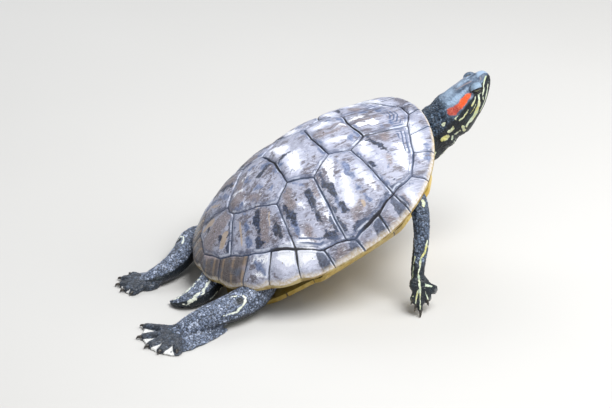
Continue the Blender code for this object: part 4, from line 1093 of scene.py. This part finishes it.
points, facing = positions(skin), vectors(skin.data.vertices, "normal")
back, out, up = head_places(points)
near_head = back < 23
slit, lid_edge, upper_lid, lower_rim = (np.full(len(points), value) for value in (9.0, 9.0, 0.0, NOWHERE))
for side in (1, -1):
    middle, outward, lengthwise, upward = eye_frame(side)
    off = points / MM - middle
    far = np.linalg.norm(off, axis=1)
    way = off / far[:, None]
    hold = smooth(way @ outward, 0.02, 0.42) * (1 - smooth(far, 7.0, 9.0)) * near_head
    a, b = way @ lengthwise * EYE_RADIUS, way @ upward * EYE_RADIUS + SLIT_DROP
    opening = np.sqrt((a / SLIT_LENGTH) ** 2 + (b / SLIT_HEIGHT) ** 2)
    opening = np.where(way @ outward > 0, opening, 9.0)
    lid = LID_RADIUS + 0.35 * np.exp(-((opening - 1.35) / 0.25) ** 2) + 0.35 * smooth(b, 0.5, 3.0)
    closed = lid - (lid - INNER_RADIUS) * (1 - smooth(opening, 1.0, 1.22))
    new = far + hold * (np.where(opening < 1.0, INNER_RADIUS, closed) - far)
    points = (middle + way * new[:, None]) * MM
    on_lid = near_head & (far < LID_REACH)
    spread = np.degrees(np.arccos(np.clip(way @ outward, -1, 1)))
    slit = np.where(on_lid, np.minimum(slit, opening), slit)
    lid_edge = np.where(on_lid & (b > -1), np.minimum(lid_edge, np.abs(spread - 62) / 5), lid_edge)
    lower_rim = np.where(on_lid & (b < -0.4), 0.30 - np.abs(opening - 1.75), lower_rim)
    # Painted highlight: the top of each upper lid is made lighter.
    above = near_head * (1 - smooth(spread, 46, 62)) * smooth(b, -0.6, 0.6) * (far < 7.5)
    upper_lid = np.maximum(upper_lid, above)
print("points on the lids:", int((slit < 9).sum()))

# %% Beak and nostrils
on_beak = back > -3
mouth_line = -3.2 - 3.8 / 16.0 * back + 0.5 * np.sin(np.clip(back, 0, 16) / 16.0 * 2 * math.pi)
from_line = up - mouth_line
mouth = np.exp(-(from_line / 0.42) ** 2) * (1 - smooth(back, 15.0, 17.5)) * on_beak
lip = np.exp(-((from_line - 1.0) / 0.6) ** 2) * (1 - smooth(back, 8.0, 15.0)) * on_beak
nostril = sum(np.exp(-(((out - side * 1.3) / 0.55) ** 2 + ((up - 2.2) / 0.45) ** 2)) for side in (1, -1))
nostril = nostril * (back < 3)
points += facing * (0.25 * lip - 0.55 * mouth - 0.75 * nostril)[:, None] * MM
move_points(skin, points)
print("points in the mouth line:", int((mouth > 0.5).sum()))

# %% [markdown]
# ## Scales and folds
# Slider skin is beaded: small round scales with dark skin between, coarse on the limbs and
# finest on the neck, where the loose skin also gathers in rings. Each scale is a cell of a
# Voronoi pattern, raised in the mesh itself.

# %% Which limb a point belongs to
NO_LIMB, ON_HEAD = 9, -1
points, facing = positions(skin), vectors(skin.data.vertices, "normal")
in_mm_points = points / MM
back, out, up = head_places(points)
measured = [limb.measure(in_mm_points) for limb in LIMBS]
shares = np.array([share for share, _, _, _ in measured])
on_head = (back < 36) & (np.abs(out) < 19) & (up > -24)
nearest = np.where(on_head, ON_HEAD, np.where(shares.min(0) > 1.45, NO_LIMB, shares.argmin(0)))
foot_share = np.min([toe.measure(in_mm_points)[0] for toe in toe_lines], axis=0)
in_foot = [flat_again(foot, in_mm_points) for foot in FEET.values()]
is_foot = np.any([(far < FOOT_REACH) & (high > -4) & (high < 6.5) & (shares[2:].min(0) > 0.9)
                  for far, _, high in in_foot], axis=0)
hind = points[:, 0] < 0


def of_limb(*numbers):
    return np.isin(nearest, numbers)


neck, tail, fore_legs, hind_legs = of_limb(0), of_limb(1), of_limb(2, 3), of_limb(4, 5)
print("points on feet:", int(is_foot.sum()), "on the head:", int(on_head.sum()))

# %% Scales, folds and lumps
cell = np.select([on_head, neck, tail, is_foot, fore_legs, hind_legs], [1.9, 1.9, 2.5, 2.3, 2.2, 2.2], 2.6)
beads, tone = np.empty(len(points)), np.empty(len(points))
for k, (point, size) in enumerate(zip(in_mm_points, cell)):
    gaps, hearts = noise.voronoi(Vector(point / size))
    beads[k], tone[k] = gaps[1] - gaps[0], noise.cell(hearts[0] * 7.3)
raised = smooth(beads, 0.02, 0.40)
deep = np.select([on_head, neck, tail, is_foot],
                 [0.45 * smooth(back, 30, 46), 0.25 + 0.30 * smooth(back, 34, 48), 0.6, 0.3], 0.45)
folds = np.sin(measured[0][1] / 2.6 + 2.2 * ripple(in_mm_points, 0.09, 4.0)
               + 0.8 * ripple(in_mm_points, 0.3, 9.0))
folds = np.where(neck | (on_head & (back > 30)), 0.45 * folds * smooth(back, 30, 40), 0.0)
lumps = 0.30 * ripple(in_mm_points, 0.13, 20.0) * np.where(on_head & (back < 21), 0.12, 1.0)
points += facing * ((raised - 0.6) * deep + folds + lumps)[:, None] * MM
points[:, 2] = np.maximum(points[:, 2], 0.02 * MM)
move_points(skin, points)
print("scales raised by up to", round(float(deep.max()), 2), "mm")

# %% [markdown]
# ## The markings
# Yellow lines run along the limbs, the neck and the face, and the red bar that names the animal
# lies behind each eye. Each line is a path over the skin: how far along the limb, at what angle
# round it, and how wide. Every point of the skin notes its distance to the nearest line.

# %% Where the lines run
# On the head: back from the snout in mm, degrees above the cheek's middle, half width in mm.
RED_BAR = [(17.4, 24, 0.5), (20.5, 26, 1.7), (24.5, 28, 2.6), (28, 28, 2.5), (31, 28, 2.5), (35, 30, 3),
           (37.4, 33, 2.6)]
FACE_LINES = [[(13, -4, 0.8), (16, -15, 1), (19.5, -24, 1.5), (24, -28, 1.9), (28, -31, 1.7), (32, -32, 1.3),
              (36, -31, 1.1)], [(16.5, 5, 0.45), (20, 1, 0.6), (23, 0, 0.55)], [(27, 2, 0.5), (30, -4, 0.7),
              (32.5, -2, 0.6), (37, 1, 0.6)], [(1.5, 20, 0.4), (4, 9, 0.65), (8, -10, 0.65), (11, -20, 0.6),
              (14, -34, 0.5)], [(3, -30, 0.4), (7, -42, 0.6), (12, -48, 0.7), (18, -49, 0.75),
              (22, -47, 0.6)], [(7, -90, 0.6), (20, -90, 0.9), (42, -90, 0.8)], [(20, -8, 0.3),
              (24, -12, 0.4), (28, -14, 0.3)], [(33, 15, 0.3), (38, 12, 0.4)]]
CROWN_LINES = [[(5, 46, 0.35), (5.6, 34, 0.55)], [(12, 60, 0.6), (16, 66, 0.7), (20, 71, 0.7),
               (24.5, 76, 0.5)]]
CROWN_SHEEN = [[(16, 42, 1), (21, 45, 1.8), (28, 48, 2.4), (34, 52, 1.8)], [(13, 82, 0.8), (22, 90, 1.2)]]
NECK_LINES = [[(67, -20, 1.2), (71, -26, 1.4)], [(44.5, -1, 1.6), (47.5, -4, 1.7)], [(51.5, -13, 1.7),
              (53, -11, 1.7), (56.2, -3, 1.2)], [(38, -22, 0.9), (39.5, -38, 1.2)], [(42, -26, 0.9),
              (46, -29, 0.7)], [(46.6, 24, 1.1), (47.6, 24, 1.1)], [(49, -48, 0.7), (54, -52, 0.9)],
              [(59, -62, 1.3), (66, -56, 1.6)], [(42, -84, 0.8), (64, -84, 1)], [(49, -24, 0.6),
              (51, -28, 0.7)]]
# On a limb: length along it in mm, degrees round from its front, half width in mm.
FORELEG_LINES = [[(50, 60, 0.8), (53, 68, 0.9), (58, 76, 0.9), (62.5, 98, 0.8), (69, 102, 0.65),
                 (75, 108, 0.6), (94, 106, 0.55)], [(62, 150, 0.4), (72, 165, 0.5), (86, 168, 0.5)],
                 [(14, 8, 0.6), (50, -14, 0.8), (92, -4, 0.7)], [(20, -90, 0.8), (60, -80, 0.9),
                 (92, -84, 0.8)], [(24, 82, 1.1), (26, 88, 1.1)], [(16, 60, 0.8), (19, 66, 0.6)]]
HINDLEG_LINES = [[(51, -8, 0.5), (46.5, -12, 0.6), (42.5, -24, 0.7), (42, -40, 0.8), (44.5, -56, 0.9),
                 (48, -68, 0.85), (52, -76, 0.7), (57, -74, 0.6), (61.5, -72, 0.5)], [(62, -128, 0.4),
                 (72, -135, 0.6), (77, -136, 0.5)], [(20, -150, 1), (60, -160, 1.2), (95, -160, 0.9)]]
TAIL_LINES = [[(34, -26, 0.5), (43, -31, 0.7), (47, -40, 0.8), (52, -54, 0.5), (57, -70, 0.7),
              (61, -95, 0.7)], [(38, 34, 0.6), (50, 33, 0.9), (58, 30, 0.8), (63, 16, 0.9), (67, -8, 0.8)],
              [(10, -118, 0.9), (44, -116, 0.9)], [(10, 118, 0.9), (60, 110, 0.8)]]
print("lines on the head and neck:", len(FACE_LINES + NECK_LINES))


# %% Measuring lines
def lines_field(along, angle, radius, lines):
    """How far inside the nearest line each point is, in millimetres; negative outside."""
    best = np.full(len(along), NOWHERE)
    for line in lines:
        for (u0, p0, h0), (u1, p1, h1) in zip(line, line[1:]):
            middle = (p0 + p1) / 2
            turned = np.radians(turn_from(middle, np.degrees(angle)))
            a, b = np.radians(p0 - middle) * radius, np.radians(p1 - middle) * radius
            step_u, step_v = u1 - u0, b - a
            share = np.clip(((along - u0) * step_u + (turned * radius - a) * step_v)
                            / np.maximum(step_u ** 2 + step_v ** 2, 1e-6), 0, 1)
            away = np.hypot(along - u0 - share * step_u, turned * radius - a - share * step_v)
            best = np.maximum(best, h0 + (h1 - h0) * share - away)
    return best


# %% Lines of the head and neck
stations = np.array(HEAD_STATIONS).T
head_rise, head_width = np.interp(back, stations[0], stations[1]), np.interp(back, stations[0], stations[4])
cheek = np.arctan2(up - head_rise, np.abs(out))
above_cheek = np.degrees(cheek)
wander = 0.10 * ripple(points / MM, 0.22, 31.0)
front = (back < 75) & (points[:, 0] > 120 * MM)


def head_field(angle, lines):
    return np.where(front, lines_field(back, angle, head_width, lines), NOWHERE)


yellow = head_field(cheek + wander, FACE_LINES + NECK_LINES) - 0.6 * tone * (back > 38) * front
yellow = np.maximum(yellow, lower_rim)
rosy, red = head_field(cheek, CROWN_LINES), head_field(cheek + 0.5 * wander, [RED_BAR])
# Painted shade: the head and neck turn black below the middle of the cheek; further back the neck is also
# made a little darker.
darkness = np.maximum(1 - smooth(above_cheek + 60 * wander, 2, 26), 0.22 * smooth(back, 34, 50))
darkness = np.where(front, darkness, 0.0)
# Painted highlights: a pale patch on top of the snout tip joins the streaks of sheen along the crown.
tip = (1 - smooth(back, 3.5, 8.5)) * smooth(above_cheek, 42, 72) * (back > -6) * front
sheen = head_field(cheek + wander, CROWN_SHEEN)
sheen = np.where(tip > 0.05, np.maximum(sheen, 3.0 * tip - 1.0), sheen)
print("points in the red bars:", int((red > 0).sum()))

# %% Lines of the limbs, and painted shade on their shaded sides
# For tail, fore and hind legs: lines, degrees round of the lit side, where the painted shade begins and ends.
TAIL_LOOK, FORE_LOOK, HIND_LOOK = (TAIL_LINES, 0, 0.30, 0.62), (FORELEG_LINES, 112, -0.25, 0.45), \
    (HINDLEG_LINES, -20, -0.25, 0.45)
LIMB_LOOKS = (TAIL_LOOK, FORE_LOOK, FORE_LOOK, HIND_LOOK, HIND_LOOK)
for number, (lines, lit_side, low, high) in enumerate(LIMB_LOOKS, 1):
    _, along, angle, radius = measured[number]
    mine = of_limb(number)
    mirror = -1 if LIMBS[number].name.endswith("left") else 1
    breaks = 1.3 * tone - 0.2 if lines is TAIL_LINES else 0.35 * tone
    yellow = np.where(mine, lines_field(along, angle * mirror + wander * 1.2, radius, lines) - breaks, yellow)
    turned = np.degrees(angle) * mirror
    # Painted shade: each limb darkens away from its lit side; the hind legs also get a dark spot, and the
    # forelegs darken towards the foot.
    dark = 1 - smooth(np.cos(np.radians(turned - lit_side)) + wander, low, high)
    if lines is HINDLEG_LINES:
        dark = np.maximum(dark, np.exp(-((along - 46.5) / 3.4) ** 2 - ((turned + 42) / 20) ** 2))
    if lines is FORELEG_LINES:
        dark = np.maximum(dark, smooth(along, 56, 72) * 0.7)
    darkness = np.where(mine, dark, darkness)
print("points in yellow lines:", int((yellow > 0).sum()))

# %% Feet: dark backs, webs for a painted reflection, lines on the fingers
darkness = np.where(is_foot, np.where(points[:, 0] > 0, 0.75, 0.56), darkness)
flap, web = np.zeros(len(points), bool), np.zeros(len(points))
for foot, (far, heading, high) in zip(FEET.values(), in_foot):
    turns = turn_from(np.array([toe for toe, _ in foot["toes"]]), heading[:, None])
    between_toes = (turns.max(1) > 0) & (turns.min(1) < 0) & (np.abs(turns).min(1) < 25)
    start = foot["radius"] + 1.5
    near = is_foot & (far < FOOT_REACH)
    web = np.maximum(web, near * between_toes * smooth(far, start, start + 5) * (np.abs(high) < 5))
    if foot["fold"]:
        first, last = foot["fold"][0][0], foot["fold"][-1][0]
        turn = turn_from(first, heading) / (last - first)
        flap |= near & (turn > 0.1) & (turn < 1.3)
darkness, yellow = np.where(flap, 0.36, darkness), np.where(flap, NOWHERE, yellow)
trunk_skin = (nearest == NO_LIMB) & ~is_foot & (points[:, 0] > -45 * MM)
darkness = np.where(trunk_skin, 0.95, darkness)
web *= smooth(foot_share, 1.0, 1.35) * np.where(points[:, 0] > 0, 0.25, 1.0)
finger = np.full(len(points), -np.inf)
for number, toe in enumerate(toe_lines[:10]):
    (share, _, angle, radius), thumb = toe.measure(points / MM), number % 5 == 0
    off_line = np.abs(np.abs(angle) - 0.9 * thumb) * radius
    finger = np.maximum(finger, 0.55 + 0.4 * thumb - off_line - 3 * np.maximum(0, share - 1.35))
yellow = np.where(is_foot, np.where(points[:, 0] > 0, np.maximum(yellow, finger), NOWHERE), yellow)
print("points on webs:", int((web > 0.5).sum()))

# %% Note it all on the skin
pale = np.select([flap, hind_legs & ~is_foot, tail, fore_legs, is_foot & hind],
                 [0.9, 1.15, 1.15, 0.5, 0.25], 0.0)
note(skin, yellow=yellow, rosy=rosy, red=red, dark=darkness, bead=raised, web=web, tone=tone, slit=slit,
     back=back, body=trunk_skin, mouth=mouth + nostril, crease=1 - smooth(lid_edge, 0.2, 1.0),
     upper_lid=upper_lid, pale=pale, sheen=sheen, whitish=(tail | hind_legs) * 0.8, sole=is_foot & hind,
     headness=np.where(nearest < 1, 1 - smooth(back + 20 * wander, 31, 45), 0.0))

# %% The colours of the skin
look = Finish("slider_skin", Specular_IOR_Level=0.38)
broad, middle, fine = look.noise(60.0), look.noise(320.0), look.noise(1500.0, 2.0)
bead, tone, not_head = look["bead"], look["tone"], 1.0 - look["headness"]
tiny = look.node("TexVoronoi", {"feature": "DISTANCE_TO_EDGE"}, Vector=look.place(), Scale=620.0)
glare = (tone * 0.35 + middle * 0.3 + fine * 0.5).ramp(0.38, 0.76)
light = look.mix((0.18, 0.225, 0.33), (0.44, 0.51, 0.68), glare)
crown = look.mix((0.060, 0.090, 0.140), (0.25, 0.34, 0.46), (broad * 0.75 + middle * 0.25).ramp(0.42, 0.60))
# Painted highlights: whitish glints on the scales of the tail and hind legs.
scale_glints = (tone * 0.50 + fine * 0.75 + broad * 0.25).ramp(0.66, 0.98) * look["whitish"]
blue = look.layers(
    (0.040, 0.070, 0.118),
    ((0.120, 0.185, 0.285), (middle * 0.6 + broad * 0.4 + tone * 0.16 - 0.06).ramp(0.40, 0.64)),
    # Painted highlights: random beads off the head are made lighter blue.
    ((0.23, 0.32, 0.46), (tone * 0.5 + fine * 0.6).ramp(0.58, 0.80) * not_head * 0.6),
    (light, look["pale"] * 0.9), (crown, look["headness"]),
    ((0.36, 0.48, 0.64), (look["sheen"] * 0.3 + middle).ramp(0.20, 0.95) * 0.75),
    # Painted highlight on the upper lids, then painted glints on the scales.
    ((0.27, 0.38, 0.50), look["upper_lid"] * 0.55), ((0.60, 0.67, 0.84), scale_glints * 0.5))
black = look.layers(
    (0.006, 0.009, 0.012), ((0.018, 0.030, 0.038), middle.ramp(0.4, 0.65)),
    ((0.060, 0.056, 0.064), look["sole"] * (fine * 0.6 + middle * 0.4).ramp(0.42, 0.60)))
marble = look.noise(150.0, 1.0, 0.4, None, 1.2) - 0.5
marble = marble.sum("ABSOLUTE", marble)
butter = look.layers(
    (0.66, 0.62, 0.22), ((0.70, 0.76, 0.58), (broad + fine * 0.3).ramp(0.50, 0.70)),
    ((0.40, 0.56, 0.44), (middle + fine * 0.4).ramp(0.70, 0.85) * 0.6), ((0.78, 0.82, 0.76), look["whitish"]))
scarlet = look.layers(
    (0.86, 0.105, 0.020), ((0.40, 0.055, 0.040), (look["back"] + middle * 6.0).ramp(31.0, 36.0)),
    ((0.80, 0.26, 0.13), (fine + middle * 0.5).ramp(0.78, 0.98) * 0.7))
print("colours mixed with", len(look.material.node_tree.nodes), "nodes")

# %% The skin's material, layer on layer
# Painted reflection: pale wet-looking streaks on the webs between the toes.
web_reflection = look["web"].ramp(0.1, 0.6) * (middle + broad * 0.4).ramp(0.42, 0.60) * 0.92
colour = look.layers(
    # Black by the dark mask: painted shade on the undersides of head, neck and limbs, and the darker feet and
    # trunk.
    blue, (black, (look["dark"] + middle * 0.3 - 0.15).ramp(0.30, 0.72)),
    ((0.008, 0.012, 0.018), (1.0 - bead.ramp(0.05, 0.60)) * not_head * 0.80),
    ((0.012, 0.016, 0.024), (1.0 - tiny.ramp(0.02, 0.14)) * not_head * 0.75),
    ((0.36, 0.27, 0.26), (look["rosy"] + middle * 0.8).ramp(-0.1, 0.9) * 0.55),
    (butter, (look["yellow"] + (middle - 0.5) * 0.9).ramp(-0.15, 0.25) * 0.95),
    ((0.42, 0.36, 0.09), look["body"] * (1.0 - marble.ramp(0.008, 0.022)) * 0.7),
    ((0.78, 0.78, 0.76), web_reflection),
    (scarlet, (look["red"] + (middle - 0.5) * 2.6 + (fine - 0.5) * 1.2).ramp(-0.5, 0.6)),
    # Painted shade in the crease round each upper lid.
    ((0.014, 0.018, 0.024), look["crease"] * 0.55),
    # Painted shade: the lid skin in and round each slit is near-black.
    ((0.006, 0.007, 0.008), 1.0 - look["slit"].ramp(1.10, 1.42)),
    ((0.010, 0.010, 0.011), look["mouth"].ramp(0.35, 0.8) * 0.85))
roughness = 0.22 + fine * 0.22 + (1.0 - bead) * 0.15 + look["headness"] * 0.12
height = bead * 0.5 + fine * 0.25 + tiny.ramp(0.0, 0.25) * not_head * 0.4
limb_nodes = [kind + end for kind in ("leg_", "foot_")
              for end in ("fore_left", "fore_right", "hind_left", "hind_right")]
dressed(skin, look.finished(colour, roughness, height, 0.35 * MM, coat=0.12),
        ["head", "lower_jaw", "neck", "trunk", "tail", *limb_nodes], 60)

# %% [markdown]
# ## Claws and eyes
# Claws are dark horn, polished by use. The eye is a wet ball with a green iris that a black bar
# crosses; behind the lids only a sliver of it shows.

# %% Claws
look = Finish("claw_horn")
grain = look.noise(900.0)
CLAW_HORN = look.finished(look.mix((0.020, 0.018, 0.016), (0.10, 0.085, 0.07), grain.ramp(0.4, 0.7)),
                          0.25 + grain * 0.15)
for name, claws in claw_sets.items():
    dressed(joined(claws, name + "_claws"), CLAW_HORN, ())

# %% Eyes
look = Finish("wet_eye", IOR=1.38)
mottle, from_pupil = look.noise(1400.0), look["pupil"]
off_pupil = 1.0 - from_pupil.ramp(0.9, 1.15)
colour = look.layers(
    (0.05, 0.065, 0.025), ((0.15, 0.165, 0.05), mottle.ramp(0.4, 0.65)),
    ((0.004, 0.004, 0.005), off_pupil.sum("MAXIMUM", off_pupil, 1.0 - look["bar"].ramp(0.5, 0.8))),
    ((0.008, 0.008, 0.008), from_pupil.ramp(1.7, 2.0)))
WET_EYE = look.finished(colour, 0.05 + mottle * 0.03, coat=0.8)
for name, side in (("eye_left", 1), ("eye_right", -1)):
    middle, outward, lengthwise, upward = eye_frame(side)
    ball, _, _ = globe(name + "_ball", 48, 31)
    way = positions(ball)
    move_points(ball, (middle + way * EYE_RADIUS) * MM)
    rise = way @ upward + 0.12
    note(ball, pupil=np.hypot(way @ lengthwise, rise) * EYE_RADIUS * np.where(way @ outward > 0, 1, 9),
         bar=np.abs(rise) * EYE_RADIUS)
    dressed(ball, WET_EYE, [name])
print("eyes of", 2 * EYE_RADIUS, "mm")
